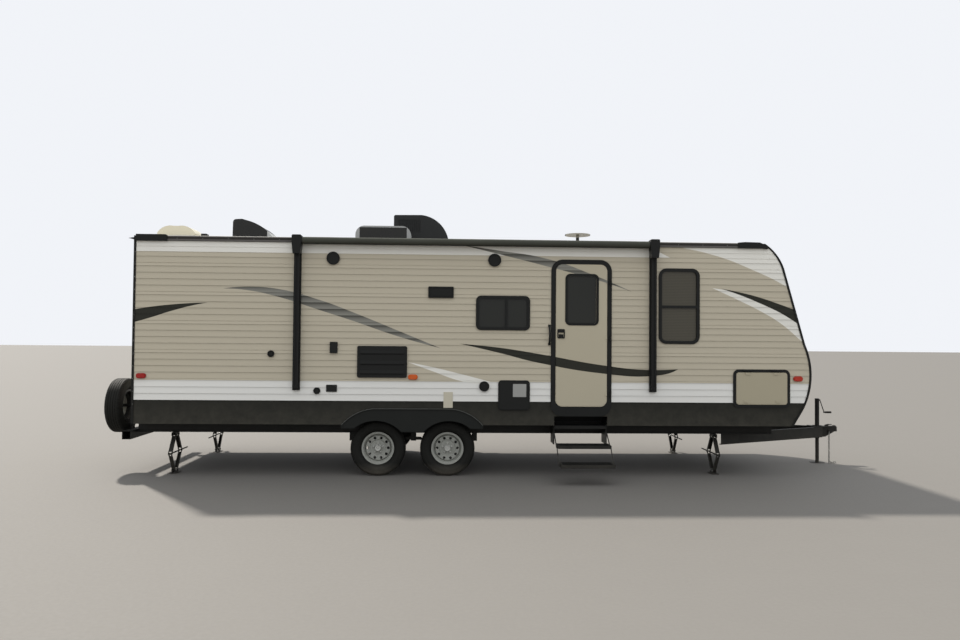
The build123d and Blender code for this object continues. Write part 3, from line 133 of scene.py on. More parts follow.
def setRoughness(tree, shader, value, low, high):
    join(tree, mapRange(tree, value, To_Min=low, To_Max=high), shader.inputs["Roughness"])


def setBump(tree, shader, height, strength, distance):
    bump = addNode(tree, "ShaderNodeBump", Height=height, Strength=strength, Distance=distance)
    join(tree, bump.outputs[0], shader.inputs["Normal"])


# Mesh helpers

def gridFaces(rows, columns, closeRows=False, closeColumns=False):
    # quads over a grid of points; a closed side joins its last line to its first
    index = np.arange(rows * columns).reshape(rows, columns)
    if closeRows:
        index = np.vstack([index, index[:1]])
    if closeColumns:
        index = np.hstack([index, index[:, :1]])
    return np.stack([index[:-1, :-1], index[:-1, 1:], index[1:, 1:], index[1:, :-1]], axis=-1).reshape(-1, 4)


def addPiece(name, parts, finish, body, sharpAngle=35.0, replaced=()):
    # one object from (points, quads) parts: doubles merged, faces outward, sharp edges by angle
    points = np.vstack([part[0] for part in parts])
    starts = np.cumsum([0] + [len(part[0]) for part in parts[:-1]])
    quads = np.vstack([part[1] + start for part, start in zip(parts, starts)])
    mesh = bpy.data.meshes.new(name)
    mesh.vertices.add(len(points))
    mesh.vertices.foreach_set("co", points.astype(np.float32).ravel())
    mesh.loops.add(quads.size)
    mesh.loops.foreach_set("vertex_index", quads.astype(np.int32).ravel())
    mesh.polygons.add(len(quads))
    mesh.polygons.foreach_set("loop_start", np.arange(0, quads.size, 4, dtype=np.int32))
    mesh.update(calc_edges=True)
    work = bmesh.new()
    work.from_mesh(mesh)
    bmesh.ops.remove_doubles(work, verts=work.verts, dist=1e-6)
    bmesh.ops.recalc_face_normals(work, faces=work.faces)
    work.to_mesh(mesh)
    work.free()
    mesh.shade_smooth()
    mesh.set_sharp_from_angle(angle=math.radians(sharpAngle))
    mesh.materials.append(materials[finish])
    piece = bpy.data.objects.new(name, mesh)
    bpy.context.scene.collection.objects.link(piece)
    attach(piece, body)
    if replaced:
        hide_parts(*replaced)
    return piece


def revolved(profile, turns, middle, axis=1, closed=False):
    # each (along, radius) of the profile goes round the axis in equal steps
    along, radius = np.array(profile).T
    angle = np.linspace(0, 2 * np.pi, turns, endpoint=False)
    points = np.zeros((len(along), turns, 3))
    points[..., axis] = along[:, None]
    points[..., (axis + 1) % 3] = radius[:, None] * np.cos(angle)
    points[..., (axis + 2) % 3] = radius[:, None] * np.sin(angle)
    return points.reshape(-1, 3) + np.array(middle), gridFaces(len(along), turns, closed, True)


def withPoles(rings, first, last):
    # the rings with a point at each end, repeated round it
    ends = [np.repeat(np.array(point)[None, None], rings.shape[1], axis=1) for point in (first, last)]
    return np.concatenate([ends[0], rings, ends[1]])


def swept(path, radius, sides=10, closed=False):
    # a round bar along a path of points: rings across the path's direction, drawn in to a pole at both ends
    path = np.array(path, dtype=float)
    along = np.gradient(path, axis=0)
    if closed:
        along = np.roll(path, -1, axis=0) - np.roll(path, 1, axis=0)
    along /= np.linalg.norm(along, axis=1)[:, None]
    guide = np.array([0.0, 1.0, 0.0]) if abs(along[:, 1]).max() < 0.9 else np.array([0.0, 0.0, 1.0])
    first = np.cross(along, guide)
    first /= np.linalg.norm(first, axis=1)[:, None]
    second = np.cross(along, first)
    angle = np.linspace(0, 2 * np.pi, sides, endpoint=False)
    across = first[:, None] * np.cos(angle)[:, None] + second[:, None] * np.sin(angle)[:, None]
    rings = path[:, None] + radius * across
    if not closed:
        rings = withPoles(rings, path[0], path[-1])
    return rings.reshape(-1, 3), gridFaces(len(rings), sides, closed, True)


def arcThrough(first, middle, last, count):
    # points on the circle through three (x, z) points
    (ax, az), (bx, bz), (cx, cz) = first, middle, last
    system = np.array([[bx - ax, bz - az], [cx - bx, cz - bz]])
    right = np.array([bx * bx - ax * ax + bz * bz - az * az, cx * cx - bx * bx + cz * cz - bz * bz]) / 2
    centre = np.linalg.solve(system, right)
    angles = np.unwrap([math.atan2(z - centre[1], x - centre[0]) for x, z in (first, middle, last)])
    turn = np.linspace(angles[0], angles[2], count)
    radius = math.hypot(ax - centre[0], az - centre[1])
    return np.stack([centre[0] + radius * np.cos(turn), centre[1] + radius * np.sin(turn)], axis=-1)


def moved(parts, matrix):
    # the parts turned and moved by a 4x4 matrix
    turned, shift = np.array(matrix)[:3, :3].T, np.array(matrix)[:3, 3]
    return [(points @ turned + shift, quads) for points, quads in parts]


def mirrored(part):
    # the same part on the far side
    return part[0] * np.array([1.0, -1.0, 1.0]), part[1]


# Shader groups shared by several finishes

def makeGrainGroup():
    # fine mottling and large patches, from the object's place
    inputs = {"Vector": None, "Scale": 40.0, "Patch Scale": 1.2, "Stretch": (1, 1, 1)}
    tree, given, out = newGroup("surfaceGrain", inputs, ("Fine", "Patch"))
    stretch = addNode(tree, "ShaderNodeVectorMath", operation="MULTIPLY")
    join(tree, given["Vector"], stretch.inputs[0])
    join(tree, given["Stretch"], stretch.inputs[1])
    fine = addNode(tree, "ShaderNodeTexNoise", Vector=stretch.outputs[0], Scale=given["Scale"],
                   Detail=4.0, Roughness=0.6)
    patch = addNode(tree, "ShaderNodeTexNoise", Vector=given["Vector"], Scale=given["Patch Scale"],
                    Detail=3.0, Roughness=0.55)
    join(tree, fine.outputs[0], out["Fine"])
    join(tree, patch.outputs[0], out["Patch"])
    return tree


def makeDustGroup():
    # dust that gathers low down: full at Low, none at High, broken up by noise
    # the noise is doubled because its mean is a half
    inputs = {"Vector": None, "Low": 0.0, "High": 0.8, "Amount": 0.5}
    tree, given, out = newGroup("lowDust", inputs, ("Mask",))
    fade = mapRange(tree, splitAxes(tree, given["Vector"])[2], From_Min=given["Low"], From_Max=given["High"],
                    To_Min=1.0, To_Max=0.0)
    noise = addNode(tree, "ShaderNodeTexNoise", Vector=given["Vector"], Scale=9.0, Detail=6.0, Roughness=0.62)
    broken = mathNode(tree, "MULTIPLY", fade, noise.outputs[0])
    scaled = mathNode(tree, "MULTIPLY", broken, given["Amount"])
    join(tree, mathNode(tree, "MULTIPLY", scaled, 2.0, clamp=True), out["Mask"])
    return tree


def makeBoxGroup():
    # 1 inside a box in x and z, else 0
    inputs = {"Vector": None, "Middle X": 0.0, "Half X": 0.1, "Middle Z": 0.0, "Half Z": 0.1}
    tree, given, out = newGroup("boxMask", inputs, ("Mask",))
    x, _, z = splitAxes(tree, given["Vector"])
    inside = []
    for place, axis in ((x, "X"), (z, "Z")):
        away = mathNode(tree, "ABSOLUTE", mathNode(tree, "SUBTRACT", place, given["Middle " + axis]))
        inside.append(mathNode(tree, "LESS_THAN", away, given["Half " + axis]))
    join(tree, mathNode(tree, "MULTIPLY", *inside), out["Mask"])
    return tree


# The laps of the siding: each has its foot at a height from this table and is painted darker towards its top,
# as painted shade under the next lap
lapLook = {"skirtTop": 0.911, "bandTop": 1.147, "bandLaps": 3, "strip": 0.038, "lap": 0.076, "laps": 4,
           "panelTop": 2.609, "paintedShade": 0.22, "curve": 5.0}


def makeLapGroup():
    # share of a lap's height, and its painted shade: 0 at its foot, rising to 1 at its top under the next lap
    tree, given, out = newGroup("lapShade", {"Vector": None}, ("Share", "Shade"))
    z = splitAxes(tree, given["Vector"])[2]

    def shareOf(height, step):
        return mathNode(tree, "DIVIDE", mathNode(tree, "FLOORED_MODULO", height, step), step)

    panel = lapLook["strip"] + lapLook["laps"] * lapLook["lap"]
    overBand = mathNode(tree, "SUBTRACT", z, lapLook["bandTop"] + lapLook["strip"] / 2)
    inLap = shareOf(mathNode(tree, "FLOORED_MODULO", overBand, panel), lapLook["lap"])
    bandLap = (lapLook["bandTop"] - lapLook["skirtTop"]) / lapLook["bandLaps"]
    inBand = shareOf(mathNode(tree, "SUBTRACT", z, lapLook["skirtTop"]), bandLap)
    low = mathNode(tree, "LESS_THAN", z, lapLook["bandTop"])
    share = addNode(tree, "ShaderNodeMix")
    join(tree, low, share.inputs[0])
    join(tree, inLap, share.inputs[2])
    join(tree, inBand, share.inputs[3])
    curve = mathNode(tree, "POWER", share.outputs[0], lapLook["curve"])
    onLaps = mathNode(tree, "MULTIPLY", mathNode(tree, "GREATER_THAN", z, lapLook["skirtTop"]),
                      mathNode(tree, "LESS_THAN", z, lapLook["panelTop"]))
    join(tree, share.outputs[0], out["Share"])
    join(tree, mathNode(tree, "MULTIPLY", curve, onLaps), out["Shade"])
    return tree


def paintZones(tree, place, colour, zones):
    # zones: x0, x1, z0, z1, distance from the middle it starts at, colour
    away = mathNode(tree, "ABSOLUTE", splitAxes(tree, place)[1])
    for x0, x1, z0, z1, outFrom, zoneColour in zones:
        mask = useGroup(tree, boxGroup, Vector=place, Middle_X=(x0 + x1) / 2, Half_X=(x1 - x0) / 2,
                        Middle_Z=(z0 + z1) / 2, Half_Z=(z1 - z0) / 2)["Mask"]
        mask = mathNode(tree, "MULTIPLY", mask, mathNode(tree, "GREATER_THAN", away, outFrom))
        colour = mixColour(tree, mask, colour, zoneColour)
    return colour


# The painted sweeps on the side: each has (x, z) points for its top and bottom edge
sweeps = {
    "rear": {"paint": "dark",
             "top": [(-8.80, 1.975), (-8.60, 2.009), (-8.37, 2.037), (-8.14, 2.056), (-7.92, 2.066)],
             "bottom": [(-8.80, 1.820), (-8.60, 1.879), (-8.37, 1.955), (-8.14, 2.020), (-7.92, 2.066)]},
    "long": {"paint": "grey",
             "top": [(-7.770, 2.233), (-7.487, 2.259), (-7.146, 2.241), (-6.613, 2.108), (-6.256, 1.980),
                     (-5.659, 1.742), (-5.160, 1.540)],
             "bottom": [(-7.770, 2.233), (-7.486, 2.217), (-7.144, 2.149), (-6.611, 1.985), (-6.255, 1.873),
                        (-5.658, 1.674), (-5.160, 1.540)]},
    "door": {"paint": "dark",
             "top": [(-4.955, 1.603), (-4.461, 1.557), (-3.978, 1.484), (-3.178, 1.350), (-2.703, 1.304),
                     (-2.293, 1.313)],
             "bottom": [(-4.955, 1.603), (-4.460, 1.491), (-3.977, 1.374), (-3.177, 1.250), (-2.703, 1.222),
                        (-2.293, 1.313)]},
    "upper": {"paint": "grey",
              "top": [(-4.892, 2.784), (-4.469, 2.724), (-3.986, 2.654), (-3.280, 2.421), (-2.846, 2.238)],
              "bottom": [(-4.892, 2.777), (-4.469, 2.679), (-3.985, 2.562), (-3.182, 2.349),
                         (-2.846, 2.238)]},
    "middle": {"paint": "white",
               "top": [(-5.564, 1.377), (-5.25, 1.315), (-4.913, 1.235), (-4.578, 1.150)],
               "bottom": [(-5.564, 1.377), (-5.25, 1.262), (-4.913, 1.150), (-4.578, 1.100)]},
    "crown": {"paint": "white",
              "top": [(-2.241, 2.90), (-1.4, 2.90), (-0.60, 2.90)],
              "bottom": [(-2.241, 2.786), (-1.773, 2.677), (-1.378, 2.526), (-1.061, 2.382), (-0.60, 2.10)]},
    "noseWhite": {"paint": "white",
                  "top": [(-1.884, 2.303), (-1.538, 2.240), (-1.291, 2.150), (-1.044, 2.050), (-0.60, 1.80)],
                  "bottom": [(-1.884, 2.303), (-1.538, 2.148), (-1.291, 2.029), (-1.044, 1.885),
                             (-0.796, 1.680), (-0.60, 1.50)]},
    "nose": {"paint": "dark",
             "top": [(-1.785, 2.299), (-1.538, 2.254), (-1.291, 2.193), (-1.044, 2.113), (-0.60, 1.95)],
             "bottom": [(-1.785, 2.299), (-1.538, 2.219), (-1.291, 2.121), (-1.044, 2.009), (-0.858, 1.899),
                        (-0.60, 1.73)]},
}


def edgeCurve(tree, xSocket, points, zLow, zHigh):
    # height of an edge over x, read from a curve through its points
    x0, x1 = points[0][0], points[-1][0]
    share = mapRange(tree, xSocket, From_Min=x0, From_Max=x1)
    node = addNode(tree, "ShaderNodeFloatCurve", Value=share)
    curve = node.mapping.curves[0]
    for index, (x, z) in enumerate(points):
        spot = ((x - x0) / (x1 - x0), (z - zLow) / (zHigh - zLow))
        if index < 2:
            curve.points[index].location = spot
        else:
            curve.points.new(*spot)
    node.mapping.update()
    return mathNode(tree, "MULTIPLY_ADD", node.outputs[0], zHigh - zLow, zLow)


def makeSweepGroup():
    # masks of the dark, grey and white sweeps: 1 between a sweep's two edges and inside its ends
    tree, given, out = newGroup("sideSweeps", {"Vector": None, "Softness": 0.002}, ("Dark", "Grey", "White"))
    x, _, z = splitAxes(tree, given["Vector"])
    totals = {"dark": 0.0, "grey": 0.0, "white": 0.0}
    margin = 0.01
    for sweep in sweeps.values():
        heights = [point[1] for point in sweep["top"] + sweep["bottom"]]
        zLow, zHigh = min(heights) - margin, max(heights) + margin
        top = edgeCurve(tree, x, sweep["top"], zLow, zHigh)
        bottom = edgeCurve(tree, x, sweep["bottom"], zLow, zHigh)
        above = mathNode(tree, "DIVIDE", mathNode(tree, "SUBTRACT", top, z), given["Softness"], clamp=True)
        below = mathNode(tree, "DIVIDE", mathNode(tree, "SUBTRACT", z, bottom), given["Softness"], clamp=True)
        after = mathNode(tree, "GREATER_THAN", x, sweep["top"][0][0])
        before = mathNode(tree, "LESS_THAN", x, sweep["top"][-1][0])
        inside = mathNode(tree, "MULTIPLY", mathNode(tree, "MULTIPLY", above, below),
                          mathNode(tree, "MULTIPLY", after, before))
        totals[sweep["paint"]] = mathNode(tree, "MAXIMUM", totals[sweep["paint"]], inside)
    for paint, total in totals.items():
        join(tree, total, out[paint.capitalize()])
    return tree


grainGroup = makeGrainGroup()
dustGroup = makeDustGroup()
boxGroup = makeBoxGroup()
sweepGroup = makeSweepGroup()
lapGroup = makeLapGroup()
print("shader groups made")

# Siding paint: tan with a white band above the black skirt, a white band under the roof, and the sweeps
sidingPaint = {
    "tan": srgb(183, 175, 156), "white": srgb(219, 218, 213), "topWhite": srgb(221, 219, 211),
    "skirt": srgb(27, 28, 24), "dark": srgb(44, 44, 37), "grey": srgb(130, 129, 121),
    "greyShaded": srgb(72, 71, 65), "upperLine": 2.665, "bandEndX": -2.40, "bandSlope": -1.9, "greyLapShade": 1.6,
    "tone": (0.965, 1.035), "dust": srgb(150, 143, 128), "dustLow": 0.55, "dustHigh": 1.05,
    "dustAmount": 0.10, "black": srgb(26, 27, 26), "lining": srgb(186, 181, 168), "specular": 0.22,
    "roughness": (0.39, 0.55), "bump": (0.35, 0.004),
}
# How far from the middle of the trailer the inner face of each reaches
liningFaces = {"wall": 1.176, "door": 1.192, "locker": 1.196}


def makeSidingMaterial(name, hasSweeps, onlyTan=False, zones=(), tan=None, liningTo=0.0):
    # bands, sweeps, painted shade on the laps and dust; nearer to the middle of the trailer than liningTo it
    # is plain lining
    material, tree, shader, place = newMaterial(name)
    x, y, z = splitAxes(tree, place)
    paint = sidingPaint
    colour = tan or paint["tan"]
    if not onlyTan:
        band = mathNode(tree, "LESS_THAN", z, lapLook["bandTop"])
        colour = mixColour(tree, band, colour, paint["white"])
        skirt = mathNode(tree, "LESS_THAN", z, lapLook["skirtTop"])
        colour = mixColour(tree, skirt, colour, paint["skirt"])
        overLine = mathNode(tree, "SUBTRACT", z, paint["upperLine"])
        slant = mathNode(tree, "MULTIPLY_ADD", overLine, paint["bandSlope"], paint["bandEndX"])
        behind = mathNode(tree, "LESS_THAN", x, slant) if hasSweeps else 1.0
        high = mathNode(tree, "MULTIPLY", mathNode(tree, "GREATER_THAN", z, paint["upperLine"]), behind)
        colour = mixColour(tree, high, colour, paint["topWhite"])
    if hasSweeps:
        masks = useGroup(tree, sweepGroup, Vector=place)
        # painted shade: the grey sweeps darken towards the top of each lap, under the next lap
        greyLapShade = mathNode(tree, "POWER", useGroup(tree, lapGroup, Vector=place)["Share"], paint["greyLapShade"])
        grey = mixColour(tree, greyLapShade, paint["grey"], paint["greyShaded"])
        colour = mixColour(tree, masks["White"], colour, paint["topWhite"])
        colour = mixColour(tree, masks["Grey"], colour, grey)
        colour = mixColour(tree, masks["Dark"], colour, paint["dark"])
    grain = useGroup(tree, grainGroup, Vector=place, Scale=9.0, Patch_Scale=0.55, Stretch=(1.0, 1.0, 6.0))
    colour = toned(tree, colour, grain["Patch"], *paint["tone"])
    if not onlyTan:
        # painted shade: each lap is darkened towards black near its top, where the next lap overhangs it
        lap = useGroup(tree, lapGroup, Vector=place)["Shade"]
        lapShade = mathNode(tree, "MULTIPLY", lap, lapLook["paintedShade"])
        colour = mixColour(tree, lapShade, colour, paint["black"])
    dust = useGroup(tree, dustGroup, Vector=place, Low=paint["dustLow"], High=paint["dustHigh"],
                    Amount=paint["dustAmount"])
    colour = mixColour(tree, dust["Mask"], colour, paint["dust"])
    colour = paintZones(tree, place, colour, zones)
    if liningTo:
        inner = mathNode(tree, "LESS_THAN", mathNode(tree, "ABSOLUTE", y), liningTo)
        colour = mixColour(tree, inner, colour, paint["lining"])
    join(tree, colour, shader.inputs["Base Color"])
    shader.inputs["Specular IOR Level"].default_value = paint["specular"]
    setRoughness(tree, shader, grain["Fine"], *paint["roughness"])
    setBump(tree, shader, grain["Patch"], *paint["bump"])
    return material


plainLook = {"dust": srgb(140, 132, 118), "bumpDistance": 0.0006, "leastRoughness": 0.02}


def makePlainMaterial(name, colour, roughness, metallic=0.0, scale=60.0, spread=0.12, bump=0.15,
                      dustAmount=0.0, dustHigh=0.6, variation=0.12, stretch=(1.0, 1.0, 1.0),
                      specular=0.5, zones=()):
    # one finish: a colour with mottling, roughness from the grain, a slight bump and dust low down
    material, tree, shader, place = newMaterial(name)
    grain = useGroup(tree, grainGroup, Vector=place, Scale=scale, Patch_Scale=3.0, Stretch=stretch)
    darker = tuple(value * (1 - variation) for value in colour[:3]) + (1.0,)
    lighter = tuple(min(1.0, value * (1 + variation)) for value in colour[:3]) + (1.0,)
    mixed = mixColour(tree, grain["Patch"], darker, lighter)
    mixed = paintZones(tree, place, mixed, zones)
    if dustAmount > 0:
        dust = useGroup(tree, dustGroup, Vector=place, Low=0.0, High=dustHigh, Amount=dustAmount)
        mixed = mixColour(tree, dust["Mask"], mixed, plainLook["dust"])
    join(tree, mixed, shader.inputs["Base Color"])
    setRoughness(tree, shader, grain["Fine"], max(plainLook["leastRoughness"], roughness - spread),
                 min(1.0, roughness + spread))
    shader.inputs["Metallic"].default_value = metallic
    shader.inputs["Specular IOR Level"].default_value = specular
    setBump(tree, shader, grain["Fine"], bump, plainLook["bumpDistance"])
    return material


paneLook = {"tintAndShade": srgb(34, 35, 31), "blind": srgb(78, 74, 63), "blindShaded": srgb(66, 63, 54),
            "blindFrom": -2.7, "pleat": 0.019, "tone": (0.7, 1.3), "ior": 1.5, "roughness": (0.05, 0.1),
            "bump": (0.05, 0.004)}


def makeGlassMaterial(name):
    # dark panes: their colour is the tint together with painted shade of the unlit cabin behind; behind the
    # front ones a pleated blind shows through, each pleat with painted shade across its fold
    material, tree, shader, place = newMaterial(name)
    grain = useGroup(tree, grainGroup, Vector=place, Scale=3.0, Patch_Scale=0.8)
    x, _, z = splitAxes(tree, place)
    # painted shade on the blind: each pleat runs from darker to lighter across its fold
    fold = mathNode(tree, "PINGPONG", z, paneLook["pleat"] / 2)
    share = mathNode(tree, "DIVIDE", fold, paneLook["pleat"] / 2, clamp=True)
    pleats = mixColour(tree, share, paneLook["blindShaded"], paneLook["blind"])
    front = mathNode(tree, "GREATER_THAN", x, paneLook["blindFrom"])
    # the pane's dark colour is its tint and painted shade of the unlit cabin behind it
    tintedAndShaded = toned(tree, paneLook["tintAndShade"], grain["Patch"], *paneLook["tone"])
    join(tree, mixColour(tree, front, tintedAndShaded, pleats), shader.inputs["Base Color"])
    setRoughness(tree, shader, grain["Fine"], *paneLook["roughness"])
    shader.inputs["IOR"].default_value = paneLook["ior"]
    setBump(tree, shader, grain["Patch"], *paneLook["bump"])
    return material


# Zones of another colour, as paintZones takes them
fittingZones = (
    (-4.303, -4.143, 0.969, 1.124, 1.2, srgb(150, 150, 146)),
    (-5.132, -5.022, 0.834, 1.022, 1.2, srgb(190, 184, 166)),
)
black = sidingPaint["black"]
doorZones = ((-3.170, -3.100, 0.7, 2.7, 1.2343, black), (-3.800, -3.650, 1.65, 1.81, 1.2343, black),
             (-3.720, -3.230, 1.81, 2.50, 1.2343, black))
lockerZones = ((-1.700, -0.850, 1.2795, 1.34, 1.2343, black),)
# painted highlight: lighter grey on the small dark dome's ends and top
ventEdgeHighlight = srgb(146, 147, 146)
ventZones = (
    (-9.000, -8.252, 2.8, 3.3, 0.0, srgb(226, 218, 192)),
    (-3.495, -3.165, 3.05, 3.3, 0.0, srgb(150, 146, 134)), (-6.280, -6.222, 2.8, 3.3, 0.0, ventEdgeHighlight),
    (-5.623, -5.560, 2.8, 3.3, 0.0, ventEdgeHighlight), (-6.300, -5.550, 3.068, 3.3, 0.0, ventEdgeHighlight),
    # painted highlight: the hood's sloped end is painted pale silver
    (-7.475, -7.390, 2.8, 3.1, 0.0, srgb(176, 177, 175)),
)
# the drip rail is brown-grey on its outer lip; its groove's inner face is painted darker, as painted shade in
# the groove
railZones = (
    (-8.41, -1.568, 2.796, 2.8505, 1.2195, srgb(52, 49, 46)),
    (-8.41, -1.568, 2.796, 2.8505, 1.2305, srgb(92, 89, 86)),
)
rimPaint = {"silver": srgb(146, 147, 140), "inner": srgb(16, 16, 15), "wheelY": 1.0183, "spareX": -9.1083,
            "tone": (0.85, 1.1), "roughness": (0.34, 0.54), "bump": (0.12, 0.0006)}


def makeRimMaterial(name):
    # painted silver; what lies behind the disc, seen through its holes, is painted dark as painted shade
    material, tree, shader, place = newMaterial(name)
    grain = useGroup(tree, grainGroup, Vector=place, Scale=30.0, Patch_Scale=6.0)
    x, y, _ = splitAxes(tree, place)
    silver = toned(tree, rimPaint["silver"], grain["Patch"], *rimPaint["tone"])
    # painted shade: the rim's parts inward of the disc get the dark colour instead of silver
    onWheel = mathNode(tree, "GREATER_THAN", mathNode(tree, "ABSOLUTE", y), rimPaint["wheelY"])
    onSpare = mathNode(tree, "LESS_THAN", x, rimPaint["spareX"])
    join(tree, mixColour(tree, mathNode(tree, "MAXIMUM", onWheel, onSpare), rimPaint["inner"], silver),
         shader.inputs["Base Color"])
    setRoughness(tree, shader, grain["Fine"], *rimPaint["roughness"])
    setBump(tree, shader, grain["Fine"], *rimPaint["bump"])
    return material


materials = {
    "siding": makeSidingMaterial("sidingPaint", True, liningTo=liningFaces["wall"]),
    "plainSiding": makeSidingMaterial("endSidingPaint", False),
    "roof": makePlainMaterial("roofMembrane", srgb(146, 144, 138), 0.6, scale=18.0, variation=0.06,
                              specular=0.3),
    "underside": makePlainMaterial("undersideSheet", srgb(24, 24, 23), 0.6, scale=25.0, specular=0.2),
    "blackSteel": makePlainMaterial("blackSteel", srgb(22, 23, 22), 0.5, scale=70.0, dustAmount=0.12,
                                    dustHigh=0.7, specular=0.25),
    "rimSilver": makeRimMaterial("rimSilver"),
    "capSteel": makePlainMaterial("capSteel", srgb(190, 190, 184), 0.3, metallic=0.4, scale=60.0),
    "rubber": makePlainMaterial("tyreRubber", srgb(26, 26, 23), 0.72, scale=90.0, dustAmount=0.22,
                                dustHigh=0.16, specular=0.25),
    "plastic": makePlainMaterial("blackPlastic", srgb(27, 28, 27), 0.5, scale=240.0, bump=0.3, specular=0.25,
                                 zones=fittingZones),
    "fender": makePlainMaterial("fenderPlastic", srgb(27, 29, 27), 0.5, scale=240.0, bump=0.3, specular=0.25),
    "trim": makePlainMaterial("blackTrim", srgb(26, 27, 25), 0.5, scale=60.0, specular=0.25, zones=railZones),
    "shell": makePlainMaterial("unitShell", srgb(38, 39, 39), 0.42, scale=30.0, specular=0.3),
    "vent": makePlainMaterial("ventShell", srgb(32, 32, 30), 0.25, scale=30.0, spread=0.06, zones=ventZones),
    "awning": makePlainMaterial("awningMetal", srgb(22, 23, 22), 0.42, scale=60.0, specular=0.3),
    "cloth": makePlainMaterial("awningCloth", srgb(66, 67, 60), 0.85, scale=420.0, bump=0.5, variation=0.16,
                               specular=0.15, stretch=(0.25, 1.0, 1.0)),
    "zinc": makePlainMaterial("zincSteel", srgb(150, 150, 146), 0.34, metallic=0.9, scale=80.0),
    "sealant": makePlainMaterial("roofSealant", srgb(150, 148, 140), 0.7, scale=120.0, bump=0.4,
                                 specular=0.3),
    "grip": makePlainMaterial("gripStrip", srgb(20, 20, 19), 0.9, scale=500.0, bump=0.6, specular=0.2),
    # light grey that stands for a painted highlight along the fender's black lip
    "highlightBead": makePlainMaterial("fenderHighlightBead", srgb(96, 97, 92), 0.4, scale=60.0),
    "door": makeSidingMaterial("doorPaint", True, True, doorZones, srgb(177, 169, 148), liningFaces["door"]),
    "locker": makeSidingMaterial("lockerPaint", False, True, lockerZones, srgb(166, 158, 136),
                                 liningFaces["locker"]),
    "glass": makeGlassMaterial("tintedShadedPane"),
}
# Lamp colours at places along the trailer; each changes to the next halfway between them
lampColours = ((-9.0, srgb(150, 16, 12)), (-8.0, srgb(150, 16, 12)), (-6.0, srgb(196, 84, 20)),
               (-2.0, srgb(196, 84, 20)), (-1.0, srgb(168, 38, 18)))
lensLook = {"ribs": 55.0, "roughness": 0.12, "coat": 0.4, "bump": (0.4, 0.001)}


def makeLensMaterial():
    # coloured plastic with fine ribs
    material, tree, shader, place = newMaterial("lampLens")
    x = splitAxes(tree, place)[0]
    colour = lampColours[0][1]
    for (x0, _), (x1, nextColour) in zip(lampColours, lampColours[1:]):
        colour = mixColour(tree, mathNode(tree, "GREATER_THAN", x, (x0 + x1) / 2), colour, nextColour)
    ribs = addNode(tree, "ShaderNodeTexWave", Vector=place, Scale=lensLook["ribs"], Distortion=0.0)
    setBump(tree, shader, ribs.outputs["Color"], *lensLook["bump"])
    join(tree, colour, shader.inputs["Base Color"])
    shader.inputs["Roughness"].default_value = lensLook["roughness"]
    shader.inputs["Coat Weight"].default_value = lensLook["coat"]
    return material


materials["lens"] = makeLensMaterial()

# Finishes of the frame's nodes; one that isn't named here goes by its ending, or else is black steel
cadFinishes = {
    "side_wall_near": "siding", "side_wall_far": "siding", "rear_wall": "plainSiding",
    "front_wall": "plainSiding", "roof": "roof", "floor": "underside", "fenders": "fender",
    "window_glass": "glass", "door_glass": "glass", "locker_door_near": "locker",
    "locker_door_far": "locker", "wall_fittings": "plastic", "entry_door": "door", "lamps": "lens",
    "edge_trim": "trim", "awning": "awning", "air_conditioner": "shell", "roof_vents": "vent",
    "safety_chain": "zinc",
}
endFinishes = {"rim": "rimSilver", "tyre": "rubber"}
for nodeName, cadPiece in nodes.items():
    ending = nodeName.rpartition("_")[2]
    finish = cadFinishes.get(nodeName) or endFinishes.get(ending, "blackSteel")
    cadPiece.data.materials.clear()
    cadPiece.data.materials.append(materials[finish])
print("finishes given to the frame's nodes")

# Tyres: a closed outline turned about the axle, its grooves and notches stepped round in equal pitches
tyreLook = {"radius": 331.5, "crown": 0.9, "crownHalf": 60, "pitches": 64,
            "grooves": (42.0, 15.0, -15.0, -42.0), "grooveHalf": 3.5, "floorHalf": 2.2, "depth": 7.0,
            "sway": 2.0}
tyreFlank = np.array([
    # distance from the middle plane, radius, depth of the shoulder notches, in mm from the bead to the tread
    (66, 180, 0), (66, 197, 0), (70, 200.5, 0), (80, 210.5, 0), (88, 218, 0), (91.5, 219.5, 0),
    (93.5, 222.5, 0), (94.5, 226, 0), (98.5, 236, 0), (101, 246, 0), (102.5, 256, 0), (102.3, 262, 0),
    (101.2, 268, 0), (99.9, 275, 0), (100.6, 276, 0), (100.3, 278.5, 0), (99.2, 279.5, 0), (98.3, 286, 0),
    (96.4, 294, 0), (97.0, 295, 0), (96.3, 298, 0), (95.0, 299, 0), (93.6, 303, 0), (91.6, 307.5, 0),
    (91.0, 308.5, 4), (86.3, 315, 5), (82, 319.8, 6), (77, 324, 6.5), (70, 327.7, 6.5), (64.5, 329.6, 6.5),
    (63.5, 330.3, 0), (60, 330.6, 0),
])
tyreLiner = np.array([(60, 182), (62, 199), (84, 224), (93, 256), (86, 296), (60, 319), (0, 322)])


